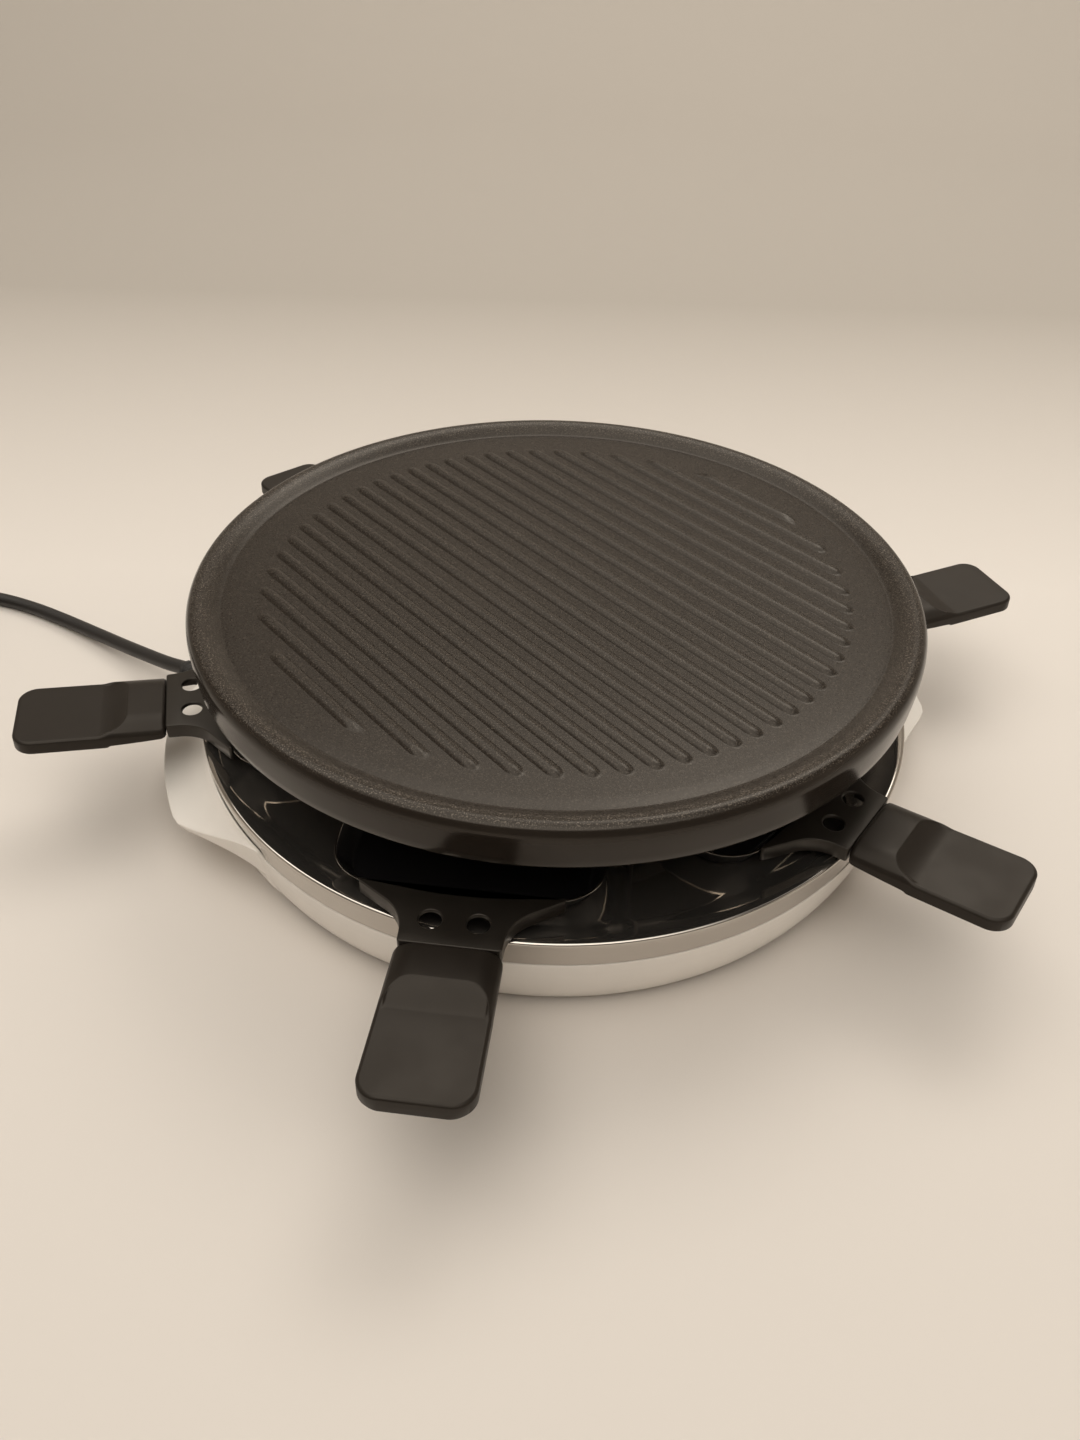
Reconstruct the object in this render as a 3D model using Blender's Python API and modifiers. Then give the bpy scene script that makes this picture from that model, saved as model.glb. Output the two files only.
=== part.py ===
"""Round raclette grill: a ribbed grill plate over six small pans in a mirror-bright tray.

All lengths are in metres, +Z is up and the floor is at z = 0. The origin lies on the floor
under the middle of the tray. Each pan is modelled along its own +X axis, pointing outwards,
with x = 0 where its collar ends and its grip begins, and a parent empty puts it in place.
"""
import math

import bmesh
import bpy
from mathutils import Matrix, Vector

# Clearances and cutting
FIT_GAP = 0.0003
OVERRUN = 0.002
MERGE_DISTANCE = 0.00001
FLAT_DEGREES = 0.5

# Heights of the body, from the floor up
SHELL_FLOOR_GAP = 0.003
SHELL_HEIGHT = 0.0283
BAND_HEIGHT = 0.0128
TRAY_DEPTH = 0.0031
PLATE_CLEARANCE = 0.0359
SHELL_BOTTOM_Z = SHELL_FLOOR_GAP
BAND_BOTTOM_Z = SHELL_BOTTOM_Z + SHELL_HEIGHT
TRAY_RIM_Z = BAND_BOTTOM_Z + BAND_HEIGHT
TRAY_FLOOR_Z = TRAY_RIM_Z - TRAY_DEPTH
PLATE_EDGE_Z = TRAY_RIM_Z + PLATE_CLEARANCE

# Grill plate
PLATE_RADIUS = 0.155
PLATE_EDGE_HEIGHT = 0.0145
PLATE_THICKNESS = 0.004
PLATE_SKIRT_WALL = 0.0035
PLATE_SKIRT_DRAFT = 0.0005
PLATE_LIP_RISE = 0.004
PLATE_LIP_WIDTH = 0.0055
PLATE_SHOULDER_WIDTH = 0.0138
PLATE_EDGE_ROUND = 0.0008
PLATE_STEPS = 80
PLATE_CREASE_RADIUS = PLATE_RADIUS - PLATE_SHOULDER_WIDTH
PLATE_FLAT_Z = PLATE_EDGE_Z + PLATE_EDGE_HEIGHT
PLATE_UNDER_Z = PLATE_FLAT_Z - PLATE_THICKNESS

# Raised ribs of the grill plate
RIB_COUNT = 25
RIB_MARGIN = 0.0157
RIB_SPAN_SHARE = 0.96574
RIB_RISE = 0.0015
RIB_HALF_WIDTH = 0.0029
RIB_FLATNESS_SHARE = 0.75
RIB_TAPER = 0.005
RIB_END_SHARE = 0.4
RIB_TURN_DEGREES = -65.0
RIB_SIDES_RESOLUTION = 2
RIB_FIELD_RADIUS = PLATE_CREASE_RADIUS - RIB_MARGIN
RIB_PITCH = 2 * RIB_FIELD_RADIUS * RIB_SPAN_SHARE / (RIB_COUNT - 1)

# Reflector tray with the band folded down outside it
TRAY_OVERHANG = 0.0022
TRAY_SHEET = 0.0008
TRAY_FLANGE_WIDTH = 0.0117
TRAY_CORNER = 0.002
BAND_TAPER = 0.0015
TRAY_STEPS = 80
TRAY_RIM_RADIUS = PLATE_RADIUS + TRAY_OVERHANG
TRAY_FLAT_RADIUS = TRAY_RIM_RADIUS - TRAY_FLANGE_WIDTH

# Base shell and its two carrying ears
SHELL_FOOT_INSET = 0.0084
SHELL_WALL = 0.0025
SHELL_STEPS = 96
EAR_REACH = 0.0202
EAR_LIP_HEIGHT = 0.0048
EAR_LIP_WALL = 0.0012
EAR_UNDER_Z = 0.022
EAR_EDGE_THICKNESS = 0.0027
EAR_TURN_DEGREES = 178.5
EAR_FLAT_DEGREES = 13.3
EAR_HALF_DEGREES = 31.0
EAR_TAPER = 1.9
EAR_STEP_SHARE = 0.08
EAR_COUNT = 2
# an ear's top face: out along its reach, down from its lip to its edge, and down the plain wall
EAR_TOP_SHARES = (
    (0.10, 0.25, 0.015),
    (0.26, 0.50, 0.050),
    (0.58, 0.81, 0.100),
    (1.00, 1.00, 0.160),
)
SHELL_FOOT_RADIUS = TRAY_RIM_RADIUS - SHELL_FOOT_INSET

# Base cover and feet
COVER_THICKNESS = 0.0025
FOOT_COUNT = 4
FOOT_RADIUS = 0.011
FOOT_SETBACK = 0.0268
FOOT_HEIGHT = 0.0035
FOOT_STEPS = 20
FOOT_TURN_DEGREES = 40.0
FOOT_CIRCLE_RADIUS = SHELL_FOOT_RADIUS - FOOT_SETBACK

# Heating element
ELEMENT_SPAN_SHARE = 0.56774
ELEMENT_TUBE = 0.0065
ELEMENT_PLATE_GAP = 0.004
ELEMENT_GAP_DEGREES = 10.0
ELEMENT_STEP_DEGREES = 9.0
ELEMENT_BEND = 0.009
ELEMENT_BEND_STEPS = 4
ELEMENT_LEG_SPACING = 0.0105
ELEMENT_LEG_INSET = 0.007
ELEMENT_LEG_TAIL = 0.018
ELEMENT_Z = PLATE_UNDER_Z - ELEMENT_PLATE_GAP - ELEMENT_TUBE / 2
ELEMENT_HOLE_GAP = 0.0008
ELEMENT_RADIUS = PLATE_RADIUS * ELEMENT_SPAN_SHARE
ELEMENT_LEG_RADIUS = TRAY_FLAT_RADIUS - ELEMENT_LEG_INSET

# Sheet brackets that carry the element and the plate
BRACKET_TURNS_DEGREES = (-90.0, 29.0, 145.4)
BRACKET_SHEET = 0.0012
BRACKET_ARM_REACH = 0.005
BRACKET_COLUMN_OFFSET = 0.011
BRACKET_COLUMN_DEPTH = 0.014
BRACKET_ARM_DEPTH = 0.016
BRACKET_PAD_WIDTH = 0.009
BRACKET_FOOT_WIDTH = 0.0075
BRACKET_INNER_RADIUS = ELEMENT_RADIUS - BRACKET_ARM_REACH
BRACKET_COLUMN_RADIUS = ELEMENT_RADIUS + BRACKET_COLUMN_OFFSET
BRACKET_OUTER_RADIUS = BRACKET_COLUMN_RADIUS + BRACKET_COLUMN_DEPTH

# Terminal shroud and block
TERMINAL_TURN_DEGREES = BRACKET_TURNS_DEGREES[2]
SHROUD_WIDTH = 0.0205
SHROUD_DEPTH = 0.013
SHROUD_SHEET = 0.001
SHROUD_TOP_GAP = 0.0015
BLOCK_LENGTH = 0.030
BLOCK_WIDTH = 0.016
BLOCK_HEIGHT = 0.012
BLOCK_SOCKET_DEPTH = 0.006

# Pans: where each one lies
PAN_OVERHANG = 0.0138
PAN_REACH = TRAY_RIM_RADIUS + PAN_OVERHANG
PAN_TURNS_DEGREES = (-112.1, -52.7, 4.5, 57.9, 115.8, 178.4)
PAN_REACH_SHARES = (0.991, 0.930, 1.020, 1.0, 1.006, 1.001)
PAN_SIDE_SHARES = (-0.1035, -0.0503, -0.0433, 0.0, 0.0, -0.0351)

# Pan dish
DISH_DEPTH = 0.0100
DISH_WIDTH_SHARE = 0.61404
DISH_LENGTH_SHARE = 0.58772
DISH_SETBACK_SHARE = 0.13158
DISH_WIDTH = PAN_REACH * DISH_WIDTH_SHARE
DISH_LENGTH = PAN_REACH * DISH_LENGTH_SHARE
DISH_SETBACK = PAN_REACH * DISH_SETBACK_SHARE
DISH_SHEET = 0.0008
DISH_DRAFT = 0.0052
DISH_FLOOR_ROUND = 0.0022
DISH_FLOOR_RISE = 0.0009
DISH_OUTLINE_SHARES = ((0.0, 0.0), (0.065, 0.952), (0.395, 1.0), (0.95, 0.457), (1.0, 0.0))
DISH_CORNER_SHARES = (1.43, 0.185, 0.50, 0.150, 0.57)
DISH_CORNER_STEPS = (2, 4, 1, 3, 1)
DISH_TAB_WIDTH = 0.0082
DISH_TAB_LENGTH = 0.0125
DISH_TAB_DROP = 0.0016

# Pan collar
COLLAR_TOP_RISE = 0.0017
COLLAR_HEIGHT = 0.0065
COLLAR_PLATE = 0.0014
COLLAR_WALL = 0.0019
COLLAR_NECK_WIDTH = 0.0352
COLLAR_WAIST_WIDTH = 0.0376
COLLAR_WAIST_SHARE = 0.6222
COLLAR_WING_SHARE = 0.74286
COLLAR_SWEEP_SHARE = 0.04476
COLLAR_WAIST_ROUND = 0.018
COLLAR_WAIST_STEPS = 4
COLLAR_RIM_OVERLAP = 0.0020
COLLAR_HOLE = 0.0076
COLLAR_HOLE_SPACING = 0.0171
COLLAR_HOLE_SHARE = 0.4933
COLLAR_HOLE_STEPS = 14
COLLAR_WAIST_SETBACK = DISH_SETBACK * COLLAR_WAIST_SHARE
COLLAR_WING_WIDTH = DISH_WIDTH * COLLAR_WING_SHARE
COLLAR_WING_SETBACK = DISH_SETBACK + DISH_WIDTH * COLLAR_SWEEP_SHARE
COLLAR_HOLE_SETBACK = DISH_SETBACK * COLLAR_HOLE_SHARE
TONGUE_WIDTH = 0.024
TONGUE_THICKNESS = 0.0034
TONGUE_DROP = 0.0016
TONGUE_REACH = 0.009
TONGUE_ROOT = 0.003

# Pan grip
GRIP_GAP = 0.0009
GRIP_LENGTH = 0.0593
GRIP_WIDTH = 0.0373
GRIP_HEIGHT = 0.0100
GRIP_TILT_DEGREES = 4.0
GRIP_TOP_RISE = 0.0010
# each station: how far along, half width, underside, top of the side wall, half crown width, crown
GRIP_STATION_SHARES = (
    (0.000, 0.930, 0.290, 0.740, 0.780, 0.860),
    (0.025, 1.000, 0.250, 0.780, 0.690, 0.980),
    (0.130, 1.000, 0.190, 0.770, 0.690, 1.000),
    (0.255, 1.000, 0.130, 0.750, 0.690, 1.000),
    (0.320, 1.000, 0.105, 0.720, 0.800, 0.850),
    (0.375, 1.000, 0.080, 0.670, 0.900, 0.740),
    (0.400, 1.000, 0.000, 0.640, 0.940, 0.690),
    (0.500, 1.000, 0.000, 0.570, 0.955, 0.620),
    (0.860, 0.985, 0.000, 0.560, 0.940, 0.610),
    (0.930, 0.930, 0.000, 0.560, 0.885, 0.610),
    (0.980, 0.760, 0.010, 0.550, 0.715, 0.600),
    (1.000, 0.560, 0.050, 0.520, 0.530, 0.570),
)
GRIP_EDGE_SHARE = 0.05
SOCKET_DEPTH = 0.0095

# Grip screw, driven up from below into the tongue
SCREW_SETBACK = 0.0055
SCREW_HEAD = 0.0056
SCREW_HEAD_HEIGHT = 0.0014
SCREW_SHANK = 0.0026
SCREW_STEPS = 12

# Power lead
CORD_DIAMETER = 0.007
CORD_SIDES_RESOLUTION = 2
CORD_EXIT_REACH = 0.00415
CORD_EXIT_BEARING_DEGREES = 159.18
CORD_EXIT_HEIGHT = 0.0165
CORD_EXIT_TURN_DEGREES = 129.5
RELIEF_LENGTH = 0.0355
RELIEF_ROOT = 0.0124
RELIEF_TIP = 0.0094
RELIEF_PLUG_LENGTH = 0.009
RELIEF_RINGS = 5
RELIEF_GROOVE_SHARE = 0.12
RELIEF_STEPS = 14
# the lead's route: x and y from its exit, z from the floor
CORD_ROUTE = (
    (-0.0330, 0.0396, 0.0137),
    (-0.0500, 0.0617, 0.0092),
    (-0.0677, 0.0837, 0.0060),
    (-0.0860, 0.1045, 0.0043),
    (-0.1043, 0.1225, 0.0036),
    (-0.1230, 0.1363, 0.0036),
    (-0.1430, 0.1458, 0.0036),
    (-0.1620, 0.1507, 0.0036),
)
CORD_POINT_SPACING = 0.016
COIL_OFFSET = (-0.1840, 0.1047)
COIL_OUTER_RADIUS = 0.0475
COIL_PITCH = 0.0076
COIL_LAYER_TURNS = 2.25
COIL_START_DEGREES = 88.0
COIL_LOOP_POINTS = 24
COIL_SIDES_RESOLUTION = 1
COIL_TAIL_LENGTH = 0.046
COIL_TAIL_POINTS = 8
CORD_LIFT = 0.0001

# Plug
PLUG_DIAMETER = 0.0365
PLUG_LENGTH = 0.034
PLUG_NECK = 0.0150
PLUG_RELIEF_LENGTH = 0.022
PLUG_STEPS = 20
PLUG_FLAT_WIDTH = 0.0300
PIN_DIAMETER = 0.0048
PIN_LENGTH = 0.019
PIN_SPACING = 0.019
PIN_BORE = 0.008
PIN_STEPS = 12
PIN_TIP = 0.0008

COLLECTION_NAME = "raclette_grill"
CUTTER_COLLECTION_NAME = "cutters"

# Colour, metallic and roughness of each finish
FINISHES = {
    "coated_plate": ((0.070, 0.060, 0.052), 0.0, 0.45),
    "bright_steel": ((0.62, 0.58, 0.54), 1.0, 0.12),
    "white_plastic": ((0.82, 0.79, 0.74), 0.0, 0.40),
    "black_rubber": ((0.03, 0.03, 0.03), 0.0, 0.75),
    "element_steel": ((0.10, 0.09, 0.085), 1.0, 0.50),
    "zinc_sheet": ((0.55, 0.55, 0.54), 1.0, 0.38),
    "ceramic": ((0.80, 0.76, 0.66), 0.0, 0.60),
    "coated_pan": ((0.020, 0.020, 0.020), 0.0, 0.35),
    "black_phenolic": ((0.045, 0.038, 0.034), 0.0, 0.42),
    "screw_steel": ((0.50, 0.49, 0.47), 1.0, 0.35),
    "black_pvc": ((0.035, 0.032, 0.030), 0.0, 0.50),
    "nickel": ((0.70, 0.66, 0.58), 1.0, 0.22),
}


def start_empty():
    """Remove the scene's objects and return the part's collection and the cutters' one."""
    for old in list(bpy.data.objects):
        bpy.data.objects.remove(old)
    part = bpy.data.collections.new(COLLECTION_NAME)
    cutters = bpy.data.collections.new(CUTTER_COLLECTION_NAME)
    bpy.context.scene.collection.children.link(part)
    bpy.context.scene.collection.children.link(cutters)
    return part, cutters


PART, CUTTERS = start_empty()


def material(name, finish):
    """One Principled material for one piece."""
    colour, metallic, roughness = FINISHES[finish]
    made = bpy.data.materials.new(name)
    made.use_nodes = True
    shader = made.node_tree.nodes["Principled BSDF"]
    shader.inputs["Base Color"].default_value = (*colour, 1.0)
    shader.inputs["Metallic"].default_value = metallic
    shader.inputs["Roughness"].default_value = roughness
    return made


def add_piece(name, data, finish, parent=None):
    """Put a mesh or curve in the part's collection, with its own material."""
    made = bpy.data.objects.new(name, data)
    data.materials.append(material(name, finish))
    PART.objects.link(made)
    made.parent = parent
    return made


def add_cutter(name, data, parent=None):
    """Put a cutting or joining body in the cutters' collection, out of the build."""
    made = bpy.data.objects.new(name, data)
    CUTTERS.objects.link(made)
    made.parent = parent
    made.hide_render = True
    made.display_type = "WIRE"
    return made


def combine(piece, other, operation="DIFFERENCE"):
    """Cut or join two bodies with an exact Boolean."""
    step = piece.modifiers.new(other.name, "BOOLEAN")
    step.operation = operation
    step.object = other


def new_mesh(name, build):
    """Run a builder on an empty bmesh and keep what it makes."""
    work = bmesh.new()
    build(work)
    data = bpy.data.meshes.new(name)
    work.to_mesh(data)
    work.free()
    return data


def smooth(piece, degrees=35.0):
    """Shade a mesh smooth, but for its sharp corners."""
    piece.data.shade_smooth()
    piece.data.set_sharp_from_angle(angle=math.radians(degrees))


def box(name, size, centre, turn_degrees=0.0):
    """A box of the given size, turned about +Z through its own centre."""

    def build(work):
        bmesh.ops.create_cube(work, size=1.0)
        bmesh.ops.scale(work, vec=size, verts=work.verts)
        bmesh.ops.rotate(work, matrix=Matrix.Rotation(math.radians(turn_degrees), 3, "Z"),
                         verts=work.verts)
        bmesh.ops.translate(work, vec=centre, verts=work.verts)

    return new_mesh(name, build)


def cylinder(name, radius, bottom, top, steps, centre=(0.0, 0.0), tip=None):
    """An upright cylinder, or a cone where tip gives another radius for its top."""

    def build(work):
        bmesh.ops.create_cone(work, cap_ends=True, segments=steps, radius1=radius,
                              radius2=radius if tip is None else tip, depth=top - bottom)
        bmesh.ops.translate(work, vec=(*centre, (top + bottom) / 2), verts=work.verts)

    return new_mesh(name, build)


def turned(name, profile, steps, closed=False):
    """A profile of (radius, height) points, top to bottom on its outer side, turned about +Z."""

    def build(work):
        points = [work.verts.new((radius, 0.0, height)) for radius, height in profile]
        for first, second in zip(points, points[1:]):
            work.edges.new((first, second))
        if closed:
            work.edges.new((points[-1], points[0]))

    return new_mesh(name, build), steps


def add_screw(piece, steps):
    """Turn a piece's profile all the way round +Z."""
    turn = piece.modifiers.new("turn", "SCREW")
    turn.axis = "Z"
    turn.steps = steps
    turn.render_steps = steps
    turn.use_merge_vertices = True
    turn.merge_threshold = MERGE_DISTANCE
    turn.use_smooth_shade = True


def add_turned(name, profile, steps, finish, closed=False, parent=None):
    """A turned piece."""
    data, steps = turned(name, profile, steps, closed)
    piece = add_piece(name, data, finish, parent)
    add_screw(piece, steps)
    return piece


def prism(name, outline, bottom, top):
    """A closed outline of (x, y) points, anticlockwise, raised from bottom to top."""

    def build(work):
        low = [work.verts.new((x, y, bottom)) for x, y in outline]
        high = [work.verts.new((x, y, top)) for x, y in outline]
        work.faces.new(low[::-1])
        work.faces.new(high)
        for i, here in enumerate(low):
            j = (i + 1) % len(low)
            work.faces.new((here, low[j], high[j], high[i]))

    return new_mesh(name, build)


def loft(name, sections, closed=False):
    """Skin like rings of points; the ends are capped, or the last ring meets the first."""

    def build(work):
        rings = [[work.verts.new(point) for point in ring] for ring in sections]
        pairs = list(zip(rings, rings[1:]))
        if closed:
            pairs.append((rings[-1], rings[0]))
        for near, far in pairs:
            for i, here in enumerate(near):
                j = (i + 1) % len(near)
                work.faces.new((here, near[j], far[j], far[i]))
        if not closed:
            work.faces.new(rings[0][::-1])
            work.faces.new(rings[-1])
        bmesh.ops.recalc_face_normals(work, faces=work.faces)

    return new_mesh(name, build)


def filleted(corners, radii, steps):
    """Round the corners of a closed outline, each to its own radius."""
    outline = []
    for i, corner in enumerate(corners):
        here = Vector(corner)
        back = (Vector(corners[i - 1]) - here).normalized()
        ahead = (Vector(corners[(i + 1) % len(corners)]) - here).normalized()
        if not radii[i]:
            outline.append(here)
            continue
        half = back.angle(ahead) / 2
        centre = here + (back + ahead).normalized() * radii[i] / math.sin(half)
        start = here + back * radii[i] / math.tan(half) - centre
        sweep = start.angle_signed(here + ahead * radii[i] / math.tan(half) - centre)
        for k in range(steps[i] + 1):
            arm = start.copy()
            arm.rotate(Matrix.Rotation(-sweep * k / steps[i], 2))
            outline.append(centre + arm)
    return outline


def mirrored(half):
    """A whole list of corners from the half on and above the X axis."""
    return list(half) + [(x, -y) for x, y in half[-2:0:-1]]


def mirrored_values(half):
    """Radii or counts that go with mirrored corners."""
    return list(half) + list(half[-2:0:-1])


def inset(outline, distance):
    """Move every edge of a rounded convex outline inwards by the same distance."""
    moved = []
    for i, here in enumerate(outline):
        back = (here - outline[i - 1]).normalized()
        ahead = (outline[(i + 1) % len(outline)] - here).normalized()
        way = Vector((-back.y - ahead.y, back.x + ahead.x)) / (1 + back.dot(ahead))
        moved.append(here + way * distance)
    return moved


def tube(name, points, diameter, resolution, shares=None):
    """A round tube along the points, as a curve with filled caps."""
    data = bpy.data.curves.new(name, "CURVE")
    data.dimensions = "3D"
    data.bevel_depth = diameter / 2
    data.bevel_resolution = resolution
    data.use_fill_caps = True
    line = data.splines.new("POLY")
    line.points.add(len(points) - 1)
    for k, (point, where) in enumerate(zip(line.points, points)):
        point.co = (*where, 1.0)
        point.radius = shares[k] if shares else 1.0
    return data


def as_mesh(name, curve):
    """The closed mesh of a tube, so that it can be cut or joined."""
    holder = bpy.data.objects.new(name, curve)
    CUTTERS.objects.link(holder)
    graph = bpy.context.evaluated_depsgraph_get()
    data = bpy.data.meshes.new_from_object(holder.evaluated_get(graph))
    bpy.data.objects.remove(holder)
    work = bmesh.new()
    work.from_mesh(data)
    bmesh.ops.remove_doubles(work, verts=work.verts, dist=MERGE_DISTANCE)
    bmesh.ops.recalc_face_normals(work, faces=work.faces)
    work.to_mesh(data)
    work.free()
    return data


def around(radius, degrees, height=0.0):
    """A point at that distance and bearing from the upright axis."""
    angle = math.radians(degrees)
    return Vector((radius * math.cos(angle), radius * math.sin(angle), height))


def make_plate():
    """The cast grill plate: a disc with a raised rounded lip, a deep skirt and 25 ribs."""
    crest_radius = PLATE_CREASE_RADIUS + PLATE_LIP_WIDTH
    crest_z = PLATE_FLAT_Z + PLATE_LIP_RISE
    shoulder = (PLATE_RADIUS - crest_radius) / 2
    inner = PLATE_RADIUS - PLATE_SKIRT_WALL
    profile = [
        (0.0, PLATE_FLAT_Z),
        (PLATE_CREASE_RADIUS, PLATE_FLAT_Z),
        (crest_radius - shoulder / 4, crest_z - PLATE_LIP_RISE / 10),
        (crest_radius + shoulder / 4, crest_z),
        (crest_radius + shoulder, crest_z - PLATE_LIP_RISE / 8),
        (PLATE_RADIUS - shoulder / 4, crest_z - PLATE_LIP_RISE / 2),
        (PLATE_RADIUS, PLATE_FLAT_Z),
        (PLATE_RADIUS - PLATE_SKIRT_DRAFT, PLATE_EDGE_Z + PLATE_EDGE_ROUND),
        (PLATE_RADIUS - PLATE_SKIRT_DRAFT - PLATE_EDGE_ROUND, PLATE_EDGE_Z),
        (inner, PLATE_EDGE_Z),
        (inner - PLATE_SKIRT_DRAFT, PLATE_UNDER_Z - PLATE_THICKNESS / 2),
        (inner - PLATE_SKIRT_DRAFT - PLATE_THICKNESS / 2, PLATE_UNDER_Z),
        (0.0, PLATE_UNDER_Z),
    ]
    plate = add_turned("grill_plate", profile, PLATE_STEPS, "coated_plate")
    flat = plate.modifiers.new("flat", "DECIMATE")
    flat.decimate_type = "DISSOLVE"
    flat.angle_limit = math.radians(FLAT_DEGREES)
    ribs = add_cutter("grill_ribs", rib_mesh())
    combine(plate, ribs, "UNION")
    return plate


def rib_mesh():
    """Parallel flattened ribs, tapered at both ends, that fill a circle."""
    turn = Matrix.Rotation(math.radians(RIB_TURN_DEGREES), 4, "Z")
    height = PLATE_FLAT_Z + RIB_RISE - RIB_HALF_WIDTH * RIB_FLATNESS_SHARE
    flatten = Matrix.Diagonal((1.0, 1.0, RIB_FLATNESS_SHARE, 1.0))
    work = bmesh.new()
    for k in range(RIB_COUNT):
        offset = (k - (RIB_COUNT - 1) / 2) * RIB_PITCH
        reach = math.sqrt(max(RIB_FIELD_RADIUS ** 2 - offset ** 2, RIB_TAPER ** 2 * 4))
        stops = (-reach, RIB_TAPER - reach, reach - RIB_TAPER, reach)
        shares = (RIB_END_SHARE, 1.0, 1.0, RIB_END_SHARE)
        points = [turn @ Vector((stop, offset, 0.0)) for stop in stops]
        one = as_mesh("rib", tube("rib", points, 2 * RIB_HALF_WIDTH, RIB_SIDES_RESOLUTION, shares))
        work.from_mesh(one)
        bpy.data.meshes.remove(one)
    data = bpy.data.meshes.new("grill_ribs")
    work.to_mesh(data)
    work.free()
    data.transform(Matrix.Translation((0.0, 0.0, height)) @ flatten)
    return data


def make_tray():
    """The pressed steel tray, folded over at its rim and down outside as the bright band."""
    crest = TRAY_RIM_RADIUS - TRAY_SHEET
    foot = TRAY_RIM_RADIUS - BAND_TAPER
    wall_top = TRAY_RIM_Z - TRAY_SHEET
    under = TRAY_FLOOR_Z - TRAY_SHEET
    profile = [
        (0.0, TRAY_FLOOR_Z),
        (TRAY_FLAT_RADIUS, TRAY_FLOOR_Z),
        (TRAY_FLAT_RADIUS + TRAY_CORNER, TRAY_FLOOR_Z + TRAY_SHEET / 4),
        (crest - TRAY_CORNER, TRAY_RIM_Z - TRAY_SHEET / 2),
        (crest, TRAY_RIM_Z),
        (TRAY_RIM_RADIUS - TRAY_SHEET / 4, TRAY_RIM_Z - TRAY_SHEET / 4),
        (TRAY_RIM_RADIUS, wall_top),
        (foot, BAND_BOTTOM_Z),
        (foot - TRAY_SHEET, BAND_BOTTOM_Z),
        (crest - TRAY_SHEET / 4, wall_top - TRAY_SHEET / 2),
        (crest - TRAY_CORNER, wall_top - TRAY_SHEET),
        (TRAY_FLAT_RADIUS + TRAY_CORNER, under + TRAY_SHEET / 4),
        (TRAY_FLAT_RADIUS, under),
        (0.0, under),
    ]
    tray = add_turned("reflector_tray", profile, TRAY_STEPS, "bright_steel")
    for side in (-1, 1):
        centre = leg_place(side)
        data = cylinder("leg_hole", ELEMENT_TUBE / 2 + ELEMENT_HOLE_GAP, under - OVERRUN,
                        TRAY_FLOOR_Z + OVERRUN, SCREW_STEPS, centre.xy)
        combine(tray, add_cutter(f"leg_hole_{side}", data))
    return tray


def ear_share(degrees):
    """How far out an ear stands at that bearing, from 0 to 1."""
    step = 360.0 / EAR_COUNT
    away = abs((degrees - EAR_TURN_DEGREES + step / 2) % step - step / 2)
    ramp = (EAR_HALF_DEGREES - away) / (EAR_HALF_DEGREES - EAR_FLAT_DEGREES)
    return min(max(ramp, 0.0), 1.0) ** EAR_TAPER


def shell_section(degrees):
    """The shell's wall at one bearing, with an ear that stands out from its top like a brim."""
    share = ear_share(degrees)
    ear = min(share / EAR_STEP_SHARE, 1.0)
    reach = EAR_REACH * share
    band_foot = TRAY_RIM_RADIUS - BAND_TAPER
    outer = band_foot + EAR_LIP_WALL / 4 + EAR_LIP_WALL * ear
    band_inner = band_foot - TRAY_SHEET - FIT_GAP
    floor_under = TRAY_FLOOR_Z - TRAY_SHEET - FIT_GAP
    top = BAND_BOTTOM_Z - FIT_GAP
    lip = top + EAR_LIP_HEIGHT * ear
    bulge = (outer - SHELL_FOOT_RADIUS) / 4
    low_outer = SHELL_FOOT_RADIUS + bulge
    inner = band_inner - SHELL_WALL
    foot_inner = SHELL_FOOT_RADIUS - SHELL_WALL
    rise = SHELL_HEIGHT
    edge = EAR_UNDER_Z + EAR_EDGE_THICKNESS
    edge += (lip - edge) * (1 - share) ** EAR_TAPER
    section = [
        (band_inner, floor_under),
        (band_inner, top),
        (band_foot + FIT_GAP / 2 + FIT_GAP * 2 * ear, top),
        (outer - EAR_LIP_WALL / 8, lip),
    ]
    for out, down, wall_down in EAR_TOP_SHARES:
        wall_height = top - rise * wall_down
        section.append((outer + reach * out, wall_height + (lip - (lip - edge) * down - wall_height) * ear))
    root_rise = EAR_EDGE_THICKNESS * ear
    section += [
        (outer - bulge * 0.3 + reach * 0.99, EAR_UNDER_Z + rise * 0.05 * (1 - ear)),
        (outer - bulge * 0.6 + reach * 0.45, EAR_UNDER_Z - rise * 0.04 * (1 - ear) + root_rise * 0.7),
        (outer - bulge * 0.9, EAR_UNDER_Z - rise * 0.10 * (1 - ear) + root_rise * 1.4),
        (low_outer + bulge, top - rise * 0.60),
        (low_outer, top - rise * 0.86),
        (SHELL_FOOT_RADIUS, SHELL_BOTTOM_Z),
        (foot_inner, SHELL_BOTTOM_Z),
        (low_outer - SHELL_WALL, top - rise * 0.84),
        (inner - bulge * 0.3, top - rise * 0.40),
        (inner, top),
        (inner, floor_under),
    ]
    return [around(radius, degrees, height) for radius, height in section]


def make_shell():
    """The white base shell: a ring of even wall with two ears that fingers reach under."""
    bearings = [EAR_TURN_DEGREES + 360.0 * k / SHELL_STEPS for k in range(SHELL_STEPS)]
    shell = add_piece("base_shell", loft("base_shell", [shell_section(b) for b in bearings], True),
                      "white_plastic")
    smooth(shell)
    flange = cylinder("relief_bore", RELIEF_ROOT / 2 + FIT_GAP, -RELIEF_PLUG_LENGTH - OVERRUN * 3,
                      RELIEF_LENGTH, RELIEF_STEPS)
    bore = add_cutter("relief_bore", flange)
    bore.matrix_world = exit_matrix()
    combine(shell, bore)
    return shell


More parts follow.
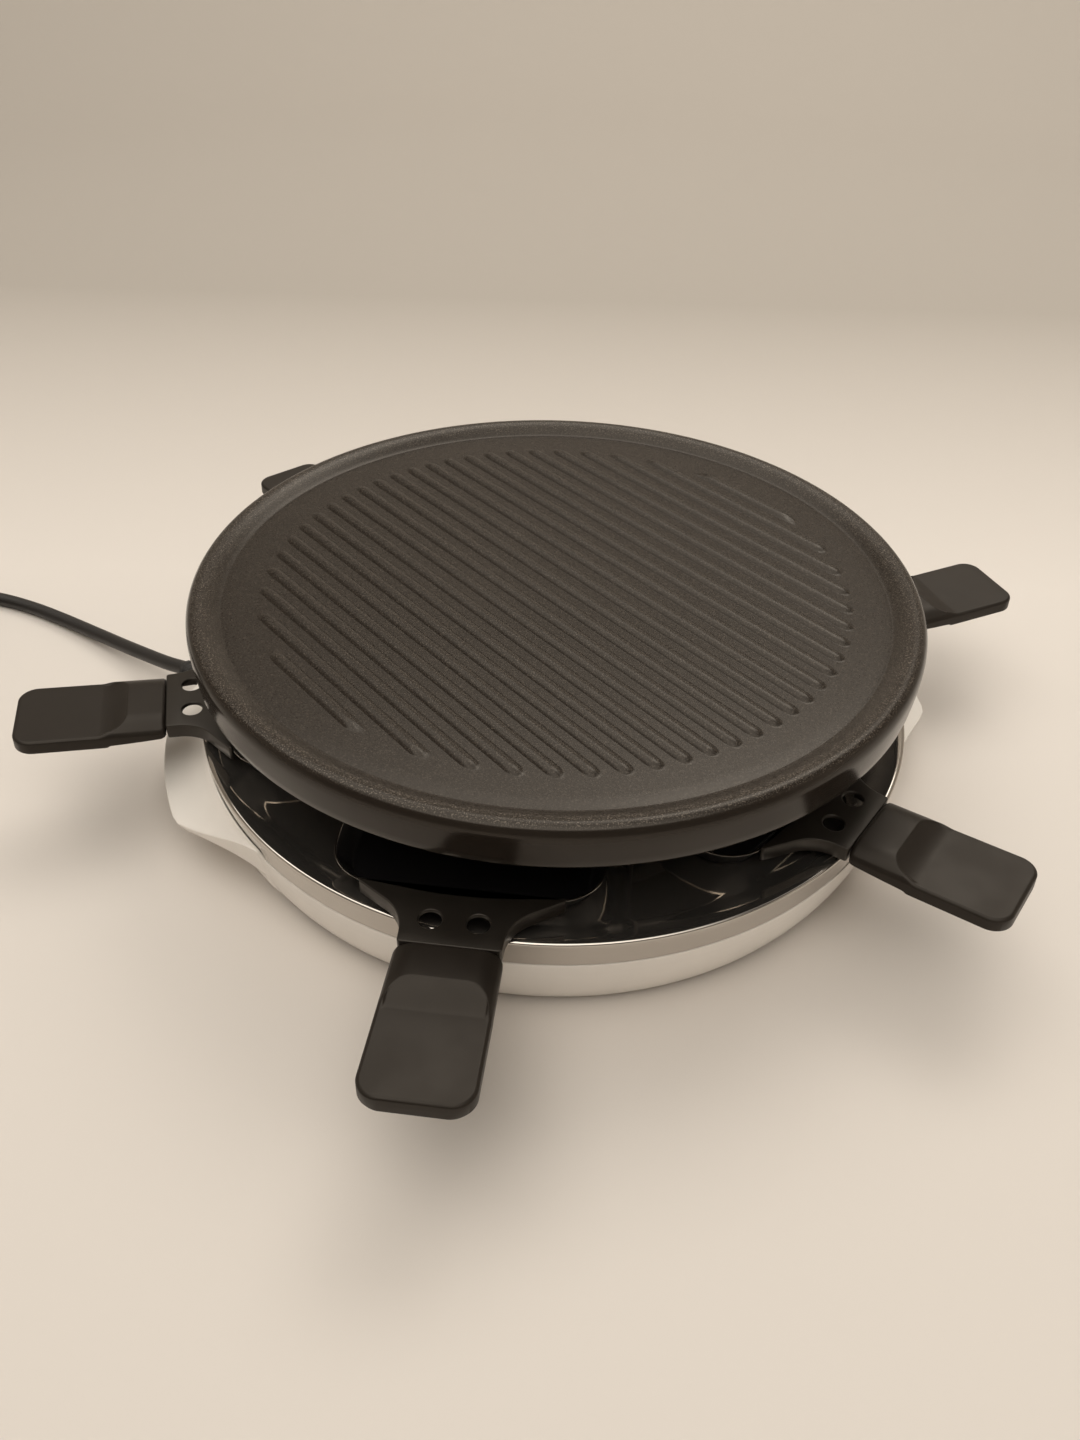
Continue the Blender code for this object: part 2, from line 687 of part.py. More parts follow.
def make_cover():
    """The base cover, which closes the shell from below, and its four rubber feet."""
    radius = SHELL_FOOT_RADIUS - SHELL_WALL - FIT_GAP
    bottom = SHELL_BOTTOM_Z
    profile = [
        (0.0, bottom + COVER_THICKNESS),
        (radius, bottom + COVER_THICKNESS),
        (radius, bottom),
        (0.0, bottom),
    ]
    cover = add_turned("base_cover", profile, SHELL_STEPS, "white_plastic")
    for k in range(FOOT_COUNT):
        centre = around(FOOT_CIRCLE_RADIUS, FOOT_TURN_DEGREES + 360.0 * k / FOOT_COUNT)
        name = f"foot_{k + 1}"
        data = cylinder(name, FOOT_RADIUS * 0.9, 0.0, FOOT_HEIGHT, FOOT_STEPS, centre.xy, FOOT_RADIUS)
        smooth(add_piece(name, data, "black_rubber"))
        data = cylinder(name, FOOT_RADIUS + FIT_GAP, bottom - OVERRUN, FOOT_HEIGHT + FIT_GAP,
                        FOOT_STEPS, centre.xy)
        combine(cover, add_cutter(f"{name}_seat", data))
    return cover


def leg_place(side):
    """Where one of the element's two legs goes down through the tray."""
    return (around(ELEMENT_LEG_RADIUS, TERMINAL_TURN_DEGREES)
            + around(side * ELEMENT_LEG_SPACING / 2, TERMINAL_TURN_DEGREES + 90.0))


def bend(before, corner, after, radius, steps):
    """Points of a round bend that takes the place of a corner."""
    back = (before - corner).normalized()
    ahead = (after - corner).normalized()
    half = back.angle(ahead) / 2
    centre = corner + (back + ahead).normalized() * radius / math.sin(half)
    start = corner + back * radius / math.tan(half) - centre
    finish = corner + ahead * radius / math.tan(half) - centre
    return [centre + start.slerp(finish, k / steps) * radius for k in range(steps + 1)]


def leg_points(side):
    """One end of the element: off the ring on a bend, out to its leg and down to the terminals."""
    turn = math.radians(ELEMENT_GAP_DEGREES)
    offset = ELEMENT_LEG_SPACING / 2
    tangent = (ELEMENT_RADIUS * math.sin(turn) - offset) / math.cos(turn)
    along = ELEMENT_RADIUS * math.cos(turn) + tangent * math.sin(turn)
    sideways = around(side * offset, TERMINAL_TURN_DEGREES + 90.0)
    ring_end = around(ELEMENT_RADIUS, TERMINAL_TURN_DEGREES + side * ELEMENT_GAP_DEGREES, ELEMENT_Z)
    inner_corner = around(along, TERMINAL_TURN_DEGREES, ELEMENT_Z) + sideways
    outer_corner = around(ELEMENT_LEG_RADIUS, TERMINAL_TURN_DEGREES, ELEMENT_Z) + sideways
    foot = outer_corner.copy()
    foot.z = TRAY_FLOOR_Z - ELEMENT_LEG_TAIL
    return (bend(ring_end, inner_corner, outer_corner, ELEMENT_BEND, ELEMENT_BEND_STEPS)
            + bend(inner_corner, outer_corner, foot, ELEMENT_BEND, ELEMENT_BEND_STEPS) + [foot])


def make_element():
    """The tubular heating element: one open ring whose ends turn out and down to the terminals."""
    first = TERMINAL_TURN_DEGREES + ELEMENT_GAP_DEGREES
    sweep = 360.0 - 2 * ELEMENT_GAP_DEGREES
    count = round(sweep / ELEMENT_STEP_DEGREES)
    ring = [around(ELEMENT_RADIUS, first + sweep * k / count, ELEMENT_Z) for k in range(count + 1)]
    points = leg_points(1)[::-1] + ring + leg_points(-1)
    data = tube("heating_element", points, ELEMENT_TUBE, CORD_SIDES_RESOLUTION)
    add_piece("heating_element", data, "element_steel")


def make_bracket(index, degrees):
    """A bent sheet bracket: a foot on the tray, a slim column, a saddle and a pad for the plate."""
    low = TRAY_FLOOR_Z + FIT_GAP
    high = PLATE_UNDER_Z - FIT_GAP
    under_tube = ELEMENT_Z - ELEMENT_TUBE / 2 - FIT_GAP
    arm_low = under_tube - BRACKET_ARM_DEPTH / 2
    beyond_tube = ELEMENT_RADIUS + ELEMENT_TUBE / 2 + FIT_GAP
    outline = [
        (BRACKET_COLUMN_RADIUS, low),
        (BRACKET_OUTER_RADIUS, low),
        (BRACKET_OUTER_RADIUS, high),
        (beyond_tube, high),
        (beyond_tube, under_tube),
        (BRACKET_INNER_RADIUS, under_tube),
        (BRACKET_INNER_RADIUS, arm_low),
        (BRACKET_COLUMN_RADIUS, arm_low - BRACKET_ARM_DEPTH / 2),
    ]
    name = f"element_bracket_{index}"
    data = prism(name, outline, -BRACKET_SHEET / 2, BRACKET_SHEET / 2)
    data.transform(Matrix.Rotation(math.radians(90.0), 4, "X"))
    bracket = add_piece(name, data, "zinc_sheet")
    bracket.rotation_euler.z = math.radians(degrees)
    middle = (BRACKET_COLUMN_RADIUS + BRACKET_OUTER_RADIUS) / 2
    depth = BRACKET_OUTER_RADIUS - BRACKET_COLUMN_RADIUS
    for label, width, height in (("foot", BRACKET_FOOT_WIDTH, low), ("pad", BRACKET_PAD_WIDTH, high)):
        up = BRACKET_SHEET / 2 if label == "foot" else -BRACKET_SHEET / 2
        data = box(f"{name}_{label}", (depth, width, BRACKET_SHEET), (middle, 0.0, height + up))
        flange = add_cutter(f"{name}_{label}", data)
        flange.rotation_euler.z = math.radians(degrees)
        combine(bracket, flange, "UNION")


def make_terminals():
    """The sheet shroud round the element's legs, open inwards, and the ceramic block below."""
    low = TRAY_FLOOR_Z + FIT_GAP
    high = PLATE_UNDER_Z - SHROUD_TOP_GAP
    middle = (low + high) / 2
    height = high - low
    data = box("terminal_shroud", (SHROUD_DEPTH, SHROUD_WIDTH, height),
               (ELEMENT_LEG_RADIUS, 0.0, middle))
    shroud = add_piece("terminal_shroud", data, "zinc_sheet")
    hollow = (SHROUD_DEPTH, SHROUD_WIDTH - 2 * SHROUD_SHEET, height)
    data = box("shroud_hollow", hollow,
               (ELEMENT_LEG_RADIUS - SHROUD_SHEET, 0.0, middle - SHROUD_SHEET))
    cutter = add_cutter("shroud_hollow", data)
    turn = math.radians(TERMINAL_TURN_DEGREES)
    shroud.rotation_euler.z = turn
    cutter.rotation_euler.z = turn
    combine(shroud, cutter)
    top = TRAY_FLOOR_Z - ELEMENT_LEG_TAIL + BLOCK_SOCKET_DEPTH
    centre = (ELEMENT_LEG_RADIUS - BLOCK_WIDTH / 8, 0.0, top - BLOCK_HEIGHT / 2)
    block = add_piece("terminal_block",
                      box("terminal_block", (BLOCK_WIDTH, BLOCK_LENGTH, BLOCK_HEIGHT), centre),
                      "ceramic")
    block.rotation_euler.z = turn
    for side in (-1, 1):
        data = cylinder("block_socket", ELEMENT_TUBE / 2 + FIT_GAP, top - BLOCK_SOCKET_DEPTH - FIT_GAP,
                        top + OVERRUN, SCREW_STEPS, leg_place(side).xy)
        combine(block, add_cutter(f"block_socket_{side}", data))


def dish_outline(grow=0.0):
    """The pan's rim as an outline: a rounded wedge that narrows towards the tray's middle."""
    corners = mirrored([(-DISH_SETBACK - DISH_LENGTH * along, DISH_WIDTH / 2 * across)
                        for along, across in DISH_OUTLINE_SHARES])
    radii = mirrored_values([DISH_WIDTH * share for share in DISH_CORNER_SHARES])
    outline = filleted(corners, radii, mirrored_values(DISH_CORNER_STEPS))
    return inset(outline, -grow) if grow else outline


def make_dish(index, holder):
    """A pan's pressed dish with sloping walls, and the tab that its collar is fastened to."""
    outline = dish_outline()
    name = f"pan_dish_{index}"
    rim_z = DISH_DEPTH
    rings = [
        (outline, rim_z),
        (inset(outline, DISH_DRAFT), DISH_FLOOR_RISE),
        (inset(outline, DISH_DRAFT + DISH_FLOOR_ROUND), 0.0),
        (inset(outline, DISH_DRAFT + DISH_FLOOR_ROUND), DISH_SHEET),
        (inset(outline, DISH_DRAFT + DISH_SHEET), DISH_FLOOR_RISE + DISH_SHEET),
        (inset(outline, DISH_SHEET), rim_z),
    ]

    def build(work):
        loops = [[work.verts.new((point.x, point.y, z)) for point in ring] for ring, z in rings]
        for low, high in ((0, 1), (1, 2), (3, 4), (4, 5), (5, 0)):
            for i in range(len(outline)):
                j = (i + 1) % len(outline)
                work.faces.new((loops[low][i], loops[low][j], loops[high][j], loops[high][i]))
        work.faces.new(loops[2])
        work.faces.new(loops[3])
        bmesh.ops.recalc_face_normals(work, faces=work.faces)

    dish = add_piece(name, new_mesh(name, build), "coated_pan", holder)
    smooth(dish)
    slope = DISH_DRAFT / (DISH_DEPTH - DISH_FLOOR_RISE)
    root = max(point.x for point in outline) - DISH_TAB_DROP * slope - DISH_SHEET * 0.7
    centre = (root + DISH_TAB_LENGTH / 2, 0.0, rim_z - DISH_TAB_DROP)
    tab = box(f"{name}_tab", (DISH_TAB_LENGTH, DISH_TAB_WIDTH, DISH_SHEET), centre)
    combine(dish, add_cutter(f"{name}_tab", tab, holder), "UNION")


def collar_outline(wall=0.0):
    """The collar seen from above: two wings along the rim that draw in to a neck."""
    rim_x = -DISH_SETBACK - COLLAR_RIM_OVERLAP
    tip_depth = COLLAR_WING_SETBACK + COLLAR_RIM_OVERLAP * 1.6
    half = [
        (0.0, COLLAR_NECK_WIDTH / 2 - wall),
        (-COLLAR_WAIST_SETBACK, COLLAR_WAIST_WIDTH / 2 - wall),
        (-COLLAR_WING_SETBACK, COLLAR_WING_WIDTH / 2 - wall),
        (-tip_depth, COLLAR_WING_WIDTH / 2 - COLLAR_RIM_OVERLAP * 1.3 - wall),
        (rim_x - DISH_LENGTH * 0.012, COLLAR_WING_WIDTH / 5),
        (rim_x, 0.0),
    ]
    corners = [half[0]] + half[1:] + [(x, -y) for x, y in half[-2::-1]]
    radii = [0.0, COLLAR_WAIST_ROUND, 0.0, 0.0, 0.0, 0.0, 0.0, 0.0, 0.0, COLLAR_WAIST_ROUND, 0.0]
    steps = [COLLAR_WAIST_STEPS] * len(corners)
    return filleted(corners, radii, steps)


def make_collar(index, holder):
    """The moulded collar: skirted wings that hug the rim, two holes and a tongue for the grip."""
    name = f"pan_collar_{index}"
    top = DISH_DEPTH + COLLAR_TOP_RISE
    bottom = top - COLLAR_HEIGHT
    under_plate = top - COLLAR_PLATE
    collar = add_piece(name, prism(name, collar_outline(), bottom, top), "black_phenolic", holder)
    cavity = prism("cavity", cavity_outline(), bottom - OVERRUN, under_plate)
    combine(collar, add_cutter(f"{name}_cavity", cavity, holder))
    seat = prism("dish_seat", dish_outline(FIT_GAP), bottom - OVERRUN, DISH_DEPTH + FIT_GAP)
    combine(collar, add_cutter(f"{name}_dish_seat", seat, holder))
    tongue_top = top - TONGUE_DROP
    length = TONGUE_REACH + TONGUE_ROOT
    centre = (TONGUE_REACH - length / 2, 0.0, tongue_top - TONGUE_THICKNESS / 2)
    tongue = box("tongue", (length, TONGUE_WIDTH, TONGUE_THICKNESS), centre)
    combine(collar, add_cutter(f"{name}_tongue", tongue, holder), "UNION")
    for side in (-1, 1):
        place = (-COLLAR_HOLE_SETBACK, side * COLLAR_HOLE_SPACING / 2)
        hole = cylinder("hole", COLLAR_HOLE / 2, bottom - OVERRUN, top + OVERRUN,
                        COLLAR_HOLE_STEPS, place)
        combine(collar, add_cutter(f"{name}_hole_{side}", hole, holder))
    pilot = cylinder("pilot", SCREW_SHANK / 2 + FIT_GAP, bottom - OVERRUN,
                     tongue_top - TONGUE_THICKNESS / 4, SCREW_STEPS, (SCREW_SETBACK, 0.0))
    combine(collar, add_cutter(f"{name}_pilot", pilot, holder))
    smooth(collar)


def cavity_outline():
    """The hollow under the collar's top, open towards the dish and closed at the neck."""
    wall = COLLAR_WALL
    half = [
        (-wall, COLLAR_NECK_WIDTH / 2 - wall),
        (-COLLAR_WAIST_SETBACK, COLLAR_WAIST_WIDTH / 2 - wall),
        (-COLLAR_WING_SETBACK + wall / 4, COLLAR_WING_WIDTH / 2 - wall * 1.6),
        (-COLLAR_WING_SETBACK - COLLAR_RIM_OVERLAP * 4, COLLAR_WING_WIDTH / 2 - wall * 1.6),
    ]
    return [Vector(point) for point in half + [(x, -y) for x, y in half[::-1]]]


def grip_section(station):
    """One cross-section of the grip, from its underside round to its crown and back."""
    along, width, under, wall_top, crown_width, crown = station
    x = GRIP_GAP + GRIP_LENGTH * along
    half = GRIP_WIDTH / 2
    edge = GRIP_WIDTH * GRIP_EDGE_SHARE / 2
    side = [
        (half * width - edge, GRIP_HEIGHT * under),
        (half * width, GRIP_HEIGHT * under + edge),
        (half * width, GRIP_HEIGHT * wall_top),
        (half * crown_width, GRIP_HEIGHT * crown),
    ]
    return [Vector((x, y, z)) for y, z in side + [(-y, z) for y, z in side[::-1]]]


def grip_base():
    """Height of the grip's lowest line above the dish's floor, at its inner end."""
    return DISH_DEPTH + COLLAR_TOP_RISE + GRIP_TOP_RISE - GRIP_HEIGHT


def make_grip(index, holder):
    """The moulded grip: a crowned root, a scooped thumb rest and a flat paddle end."""
    name = f"pan_grip_{index}"
    data = loft(name, [grip_section(station) for station in GRIP_STATION_SHARES])
    tilt = Matrix.Rotation(-math.radians(GRIP_TILT_DEGREES), 4, "Y")
    data.transform(Matrix.Translation((0.0, 0.0, grip_base())) @ tilt)
    grip = add_piece(name, data, "black_phenolic", holder)
    smooth(grip)
    top = DISH_DEPTH + COLLAR_TOP_RISE - TONGUE_DROP
    size = (SOCKET_DEPTH + OVERRUN, TONGUE_WIDTH + 2 * FIT_GAP, TONGUE_THICKNESS + 2 * FIT_GAP)
    socket = box("socket", size, (size[0] / 2 - OVERRUN / 2, 0.0, top - TONGUE_THICKNESS / 2))
    combine(grip, add_cutter(f"{name}_socket", socket, holder))
    bore = cylinder("bore", SCREW_SHANK / 2 + FIT_GAP, -GRIP_HEIGHT, top - TONGUE_THICKNESS,
                    SCREW_STEPS, (SCREW_SETBACK, 0.0))
    combine(grip, add_cutter(f"{name}_bore", bore, holder))
    sink = cylinder("sink", SCREW_HEAD / 2 + FIT_GAP, -GRIP_HEIGHT, head_seat_z(),
                    SCREW_STEPS, (SCREW_SETBACK, 0.0))
    combine(grip, add_cutter(f"{name}_sink", sink, holder))


def head_seat_z():
    """Height at which the screw's head bears on the grip."""
    return DISH_DEPTH + COLLAR_TOP_RISE - TONGUE_DROP - TONGUE_THICKNESS - SCREW_HEAD_HEIGHT


def make_grip_screw(index, holder):
    """The screw that holds the grip on the collar's tongue."""
    name = f"grip_screw_{index}"
    seat = head_seat_z() - FIT_GAP
    tip = DISH_DEPTH + COLLAR_TOP_RISE - TONGUE_DROP - TONGUE_THICKNESS / 4 - FIT_GAP
    profile = [
        (0.0, tip),
        (SCREW_SHANK / 2, tip),
        (SCREW_SHANK / 2, seat),
        (SCREW_HEAD / 2, seat),
        (SCREW_HEAD / 2 - SCREW_HEAD_HEIGHT / 4, seat - SCREW_HEAD_HEIGHT),
        (0.0, seat - SCREW_HEAD_HEIGHT),
    ]
    screw = add_turned(name, profile, SCREW_STEPS, "screw_steel", parent=holder)
    screw.location.x = SCREW_SETBACK


def make_pans():
    """Six pans, each under an empty that puts it on its place in the tray."""
    places = zip(PAN_TURNS_DEGREES, PAN_REACH_SHARES, PAN_SIDE_SHARES)
    for index, (degrees, reach, side) in enumerate(places, start=1):
        holder = bpy.data.objects.new(f"pan_place_{index}", None)
        PART.objects.link(holder)
        holder.rotation_euler.z = math.radians(degrees)
        holder.location = (around(PAN_REACH * reach, degrees, TRAY_FLOOR_Z + FIT_GAP)
                           + around(PAN_REACH * side, degrees + 90.0))
        make_dish(index, holder)
        make_collar(index, holder)
        make_grip(index, holder)
        make_grip_screw(index, holder)


def exit_point():
    """Where the lead leaves the shell's wall, under the ear's rear end."""
    return around(SHELL_FOOT_RADIUS + CORD_EXIT_REACH, CORD_EXIT_BEARING_DEGREES, CORD_EXIT_HEIGHT)


def exit_direction():
    """The way the lead leaves the shell: level, slanted towards the back."""
    return around(1.0, CORD_EXIT_TURN_DEGREES)


def exit_matrix():
    """Puts a piece turned about +Z at the lead's exit, pointing the way it leaves."""
    turn = Vector((0.0, 0.0, 1.0)).rotation_difference(exit_direction())
    return Matrix.Translation(exit_point()) @ turn.to_matrix().to_4x4()


def make_relief():
    """The tapered rubber strain relief, with a few grooves, in its hole in the shell."""
    tip = RELIEF_LENGTH
    profile = [(0.0, tip), (RELIEF_TIP / 2, tip)]
    for k in range(RELIEF_RINGS, 0, -1):
        middle = tip * (k - 0.5) / RELIEF_RINGS
        radius = (RELIEF_ROOT + (RELIEF_TIP - RELIEF_ROOT) * middle / tip) / 2
        groove = tip / RELIEF_RINGS / 8
        profile += [
            (radius, middle + groove * 2),
            (radius * (1 - RELIEF_GROOVE_SHARE), middle + groove),
            (radius * (1 - RELIEF_GROOVE_SHARE), middle - groove),
            (radius, middle - groove * 2),
        ]
    profile += [
        (RELIEF_ROOT / 2, 0.0),
        (RELIEF_ROOT / 2, -RELIEF_PLUG_LENGTH),
        (0.0, -RELIEF_PLUG_LENGTH),
    ]
    relief = add_turned("cord_gland", profile, RELIEF_STEPS, "black_rubber")
    relief.matrix_world = exit_matrix()


def through(points, spacing):
    """The two end points, and evenly spaced points on a smooth curve through those between."""
    dense = []
    for a, b, c, d in zip(points, points[1:], points[2:], points[3:]):
        for k in range(COIL_LOOP_POINTS):
            t = k / COIL_LOOP_POINTS
            dense.append(((b * 2) + (c - a) * t + (a * 2 - b * 5 + c * 4 - d) * t ** 2
                          + (b * 3 - a - c * 3 + d) * t ** 3) / 2)
    dense.append(points[-2].copy())
    length = sum((q - p).length for p, q in zip(dense, dense[1:]))
    count = max(round(length / spacing), 2)
    even = [points[0], dense[0]]
    walked = 0.0
    for p, q in zip(dense, dense[1:]):
        step = (q - p).length
        while len(even) <= count and walked + step >= length * (len(even) - 1) / count:
            share = (length * (len(even) - 1) / count - walked) / step
            even.append(p.lerp(q, share))
        walked += step
    return even + [dense[-1], points[-1]]


def coil_centre():
    """Where the coil lies on the floor, beyond the lead's route."""
    leave = exit_point()
    return Vector((leave.x + COIL_OFFSET[0], leave.y + COIL_OFFSET[1], 0.0))


def coil_points():
    """The wound length: in along the floor, up a layer, out again, then off to the plug."""
    floor_z = CORD_DIAMETER / 2 + CORD_LIFT
    turn = 2 * math.pi
    inner = COIL_OUTER_RADIUS - COIL_PITCH * COIL_LAYER_TURNS
    steps = round(COIL_LAYER_TURNS * COIL_LOOP_POINTS)
    half = COIL_LOOP_POINTS // 2
    start = math.radians(COIL_START_DEGREES)
    spots = []
    for k in range(steps + 1):
        spots.append((k, COIL_OUTER_RADIUS - COIL_PITCH * k / COIL_LOOP_POINTS, floor_z))
    for k in range(1, half):
        near = min(k, half - k)
        ease = (1 - math.cos(math.pi * k / half)) / 2
        spots.append((steps + k, inner - COIL_PITCH * near / COIL_LOOP_POINTS,
                      floor_z + COIL_PITCH * ease))
    for k in range(steps + 1):
        spots.append((steps + half + k, inner + COIL_PITCH * k / COIL_LOOP_POINTS,
                      floor_z + COIL_PITCH))
    centre = coil_centre()
    loops = [centre + Vector((r * math.cos(start + turn * n / COIL_LOOP_POINTS),
                                   r * math.sin(start + turn * n / COIL_LOOP_POINTS), z))
             for n, r, z in spots]
    lead_in = Vector((math.sin(start), -math.cos(start), 0.0))
    loops = [loops[0] + lead_in * CORD_DIAMETER] + loops
    return loops + tail_points(loops)


def tail_points(loops):
    """The short rise from the top of the coil to the plug, which lies on the floor."""
    arm = loops[-1] - coil_centre()
    way = Vector((-arm.y, arm.x, 0.0)).normalized()
    climb = PLUG_DIAMETER / 2 - loops[-1].z
    run = COIL_TAIL_LENGTH - CORD_DIAMETER
    points = []
    for k in range(1, COIL_TAIL_POINTS + 1):
        share = k / COIL_TAIL_POINTS
        ease = share * share * (3 - 2 * share)
        points.append(loops[-1] + way * run * share + Vector((0.0, 0.0, climb * ease)))
    points.append(points[-1] + way * CORD_DIAMETER)
    return points


def print_coil_gap(points):
    """Print the least gap between the coil's turns, and the lead's whole length."""
    least = min((p - q).length for i, p in enumerate(points)
                for q in points[i + COIL_LOOP_POINTS // 2:])
    length = sum((q - p).length for p, q in zip(points, points[1:]))
    print(f"coil: least gap to itself {(least - CORD_DIAMETER) * 1000:.2f} mm, "
          f"length {length * 1000:.0f} mm")


def make_cord():
    """The lead's free stretch, from the strain relief to the coil, and the coil itself."""
    coil = coil_points()
    way = exit_direction()
    leave = exit_point()
    first = leave + way * (RELIEF_LENGTH + FIT_GAP)
    into_coil = (coil[1] - coil[0]).normalized()
    last = coil[0] - into_coil * FIT_GAP
    route = [first, first + way * CORD_DIAMETER]
    route += [Vector((leave.x + x, leave.y + y, z)) for x, y, z in CORD_ROUTE]
    route += [last - into_coil * CORD_DIAMETER, last]
    lead = through(route, CORD_POINT_SPACING)
    length = sum((q - p).length for p, q in zip(lead, lead[1:]))
    print(f"lead: length {length * 1000:.0f} mm")
    add_piece("cord_lead", tube("cord_lead", lead, CORD_DIAMETER, CORD_SIDES_RESOLUTION), "black_pvc")
    add_piece("cord_coil", tube("cord_coil", coil, CORD_DIAMETER, COIL_SIDES_RESOLUTION), "black_pvc")
    print_coil_gap(coil)
    return coil


def make_plug(coil):
    """The moulded plug at the coil's end, lying on the floor, with its two pins."""
    way = (coil[-1] - coil[-2]).normalized()
    start = coil[-1] + way * FIT_GAP
    turn = Vector((0.0, 0.0, 1.0)).rotation_difference(way)
    place = Matrix.Translation(start) @ turn.to_matrix().to_4x4()
    face = PLUG_RELIEF_LENGTH + PLUG_LENGTH
    waist = PLUG_RELIEF_LENGTH + PLUG_LENGTH * 0.35
    profile = [
        (0.0, face),
        (PLUG_DIAMETER / 2 - PIN_TIP, face),
        (PLUG_DIAMETER / 2, face - PIN_TIP),
        (PLUG_DIAMETER / 2, waist + PLUG_LENGTH * 0.1),
        (PLUG_DIAMETER / 2 - PIN_TIP * 3, waist),
        (PLUG_NECK / 2, PLUG_RELIEF_LENGTH),
        (RELIEF_TIP / 2 + PIN_TIP, PLUG_RELIEF_LENGTH * 0.9),
        (RELIEF_TIP / 2, 0.0),
        (0.0, 0.0),
    ]
    plug = add_turned("plug_body", profile, PLUG_STEPS, "black_pvc")
    plug.matrix_world = place
    for side in (-1, 1):
        centre = (0.0, side * PIN_SPACING / 2)
        name = f"plug_pin_{1 if side < 0 else 2}"
        data = cylinder("pin_bore", PIN_DIAMETER / 2 + FIT_GAP, face - PIN_BORE - FIT_GAP,
                        face + OVERRUN, PIN_STEPS, centre)
        bore = add_cutter(f"{name}_bore", data)
        bore.matrix_world = place
        combine(plug, bore)
        tip = face + PIN_LENGTH
        pin_profile = [
            (0.0, tip),
            (PIN_DIAMETER / 2 - PIN_TIP, tip),
            (PIN_DIAMETER / 2, tip - PIN_TIP),
            (PIN_DIAMETER / 2, face - PIN_BORE),
            (0.0, face - PIN_BORE),
        ]
        pin = add_turned(name, pin_profile, PIN_STEPS, "nickel")
        pin.matrix_world = place @ Matrix.Translation((*centre, 0.0))


make_plate()
make_tray()
make_shell()
make_cover()
make_element()
for number, bearing in enumerate(BRACKET_TURNS_DEGREES, start=1):
    make_bracket(number, bearing)
make_terminals()
make_pans()
make_relief()
make_plug(make_cord())
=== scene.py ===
"""Looks of the raclette grill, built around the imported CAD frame.

Lengths are in metres, apart from the tables and sections that say millimetres.
"""
import math

import bmesh
import bpy
from mathutils import Matrix, Vector


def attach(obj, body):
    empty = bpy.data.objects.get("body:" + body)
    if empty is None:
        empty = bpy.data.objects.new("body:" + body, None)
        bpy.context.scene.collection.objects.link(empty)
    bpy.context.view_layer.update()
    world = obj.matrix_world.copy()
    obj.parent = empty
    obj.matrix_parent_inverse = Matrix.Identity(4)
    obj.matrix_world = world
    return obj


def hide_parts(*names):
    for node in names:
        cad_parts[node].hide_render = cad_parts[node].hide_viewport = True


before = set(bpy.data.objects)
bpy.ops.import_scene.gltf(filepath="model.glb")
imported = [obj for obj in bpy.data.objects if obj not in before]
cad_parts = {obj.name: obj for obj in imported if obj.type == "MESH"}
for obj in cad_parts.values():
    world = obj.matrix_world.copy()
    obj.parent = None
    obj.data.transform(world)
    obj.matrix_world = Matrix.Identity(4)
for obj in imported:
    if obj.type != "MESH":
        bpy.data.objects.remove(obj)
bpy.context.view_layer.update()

MM = 0.001
TAU = 2 * math.pi

# Heights, the same as the CAD's
TRAY_FLOOR = 41.0 * MM
PLATE_FLAT = 94.5 * MM
PAN_GAP = 0.3 * MM
PAN_BASE = TRAY_FLOOR + PAN_GAP

# Pans: direction in degrees, then the slit's reach and its side step as shares of PAN_REACH
PAN_REACH = 171.0 * MM
PANS = (
    (-112.1, 0.991, -0.1035),
    (-52.7, 0.930, -0.0503),
    (4.5, 1.020, -0.0433),
    (57.9, 1.0, 0.0),
    (115.8, 1.006, 0.0),
    (178.4, 1.001, -0.0351),
)


def turned(radius, angle, height=0.0):
    """A point at that distance and angle from the upright axis."""
    return Vector((radius * math.cos(angle), radius * math.sin(angle), height))


def around(radius, degrees, height=0.0):
    """The same with its bearing in degrees."""
    return turned(radius, math.radians(degrees), height)


def smoothstep(value):
    """Ease from 0 to 1 as the value goes from 0 to 1."""
    value = min(max(value, 0.0), 1.0)
    return value * value * (3 - 2 * value)


# Materials

# Where the coating turns smooth and loses its flecks towards the skirt, and the heights over which the
# flecks are painted brighter, as a painted highlight strongest on the lip's crest
SMOOTH_EDGE = (151.8 * MM, 153.6 * MM)
HIGHLIGHT_HEIGHTS = (94.6 * MM, 97.8 * MM)
WARM_GLOSS = (1.0, 0.92, 0.83, 1.0)


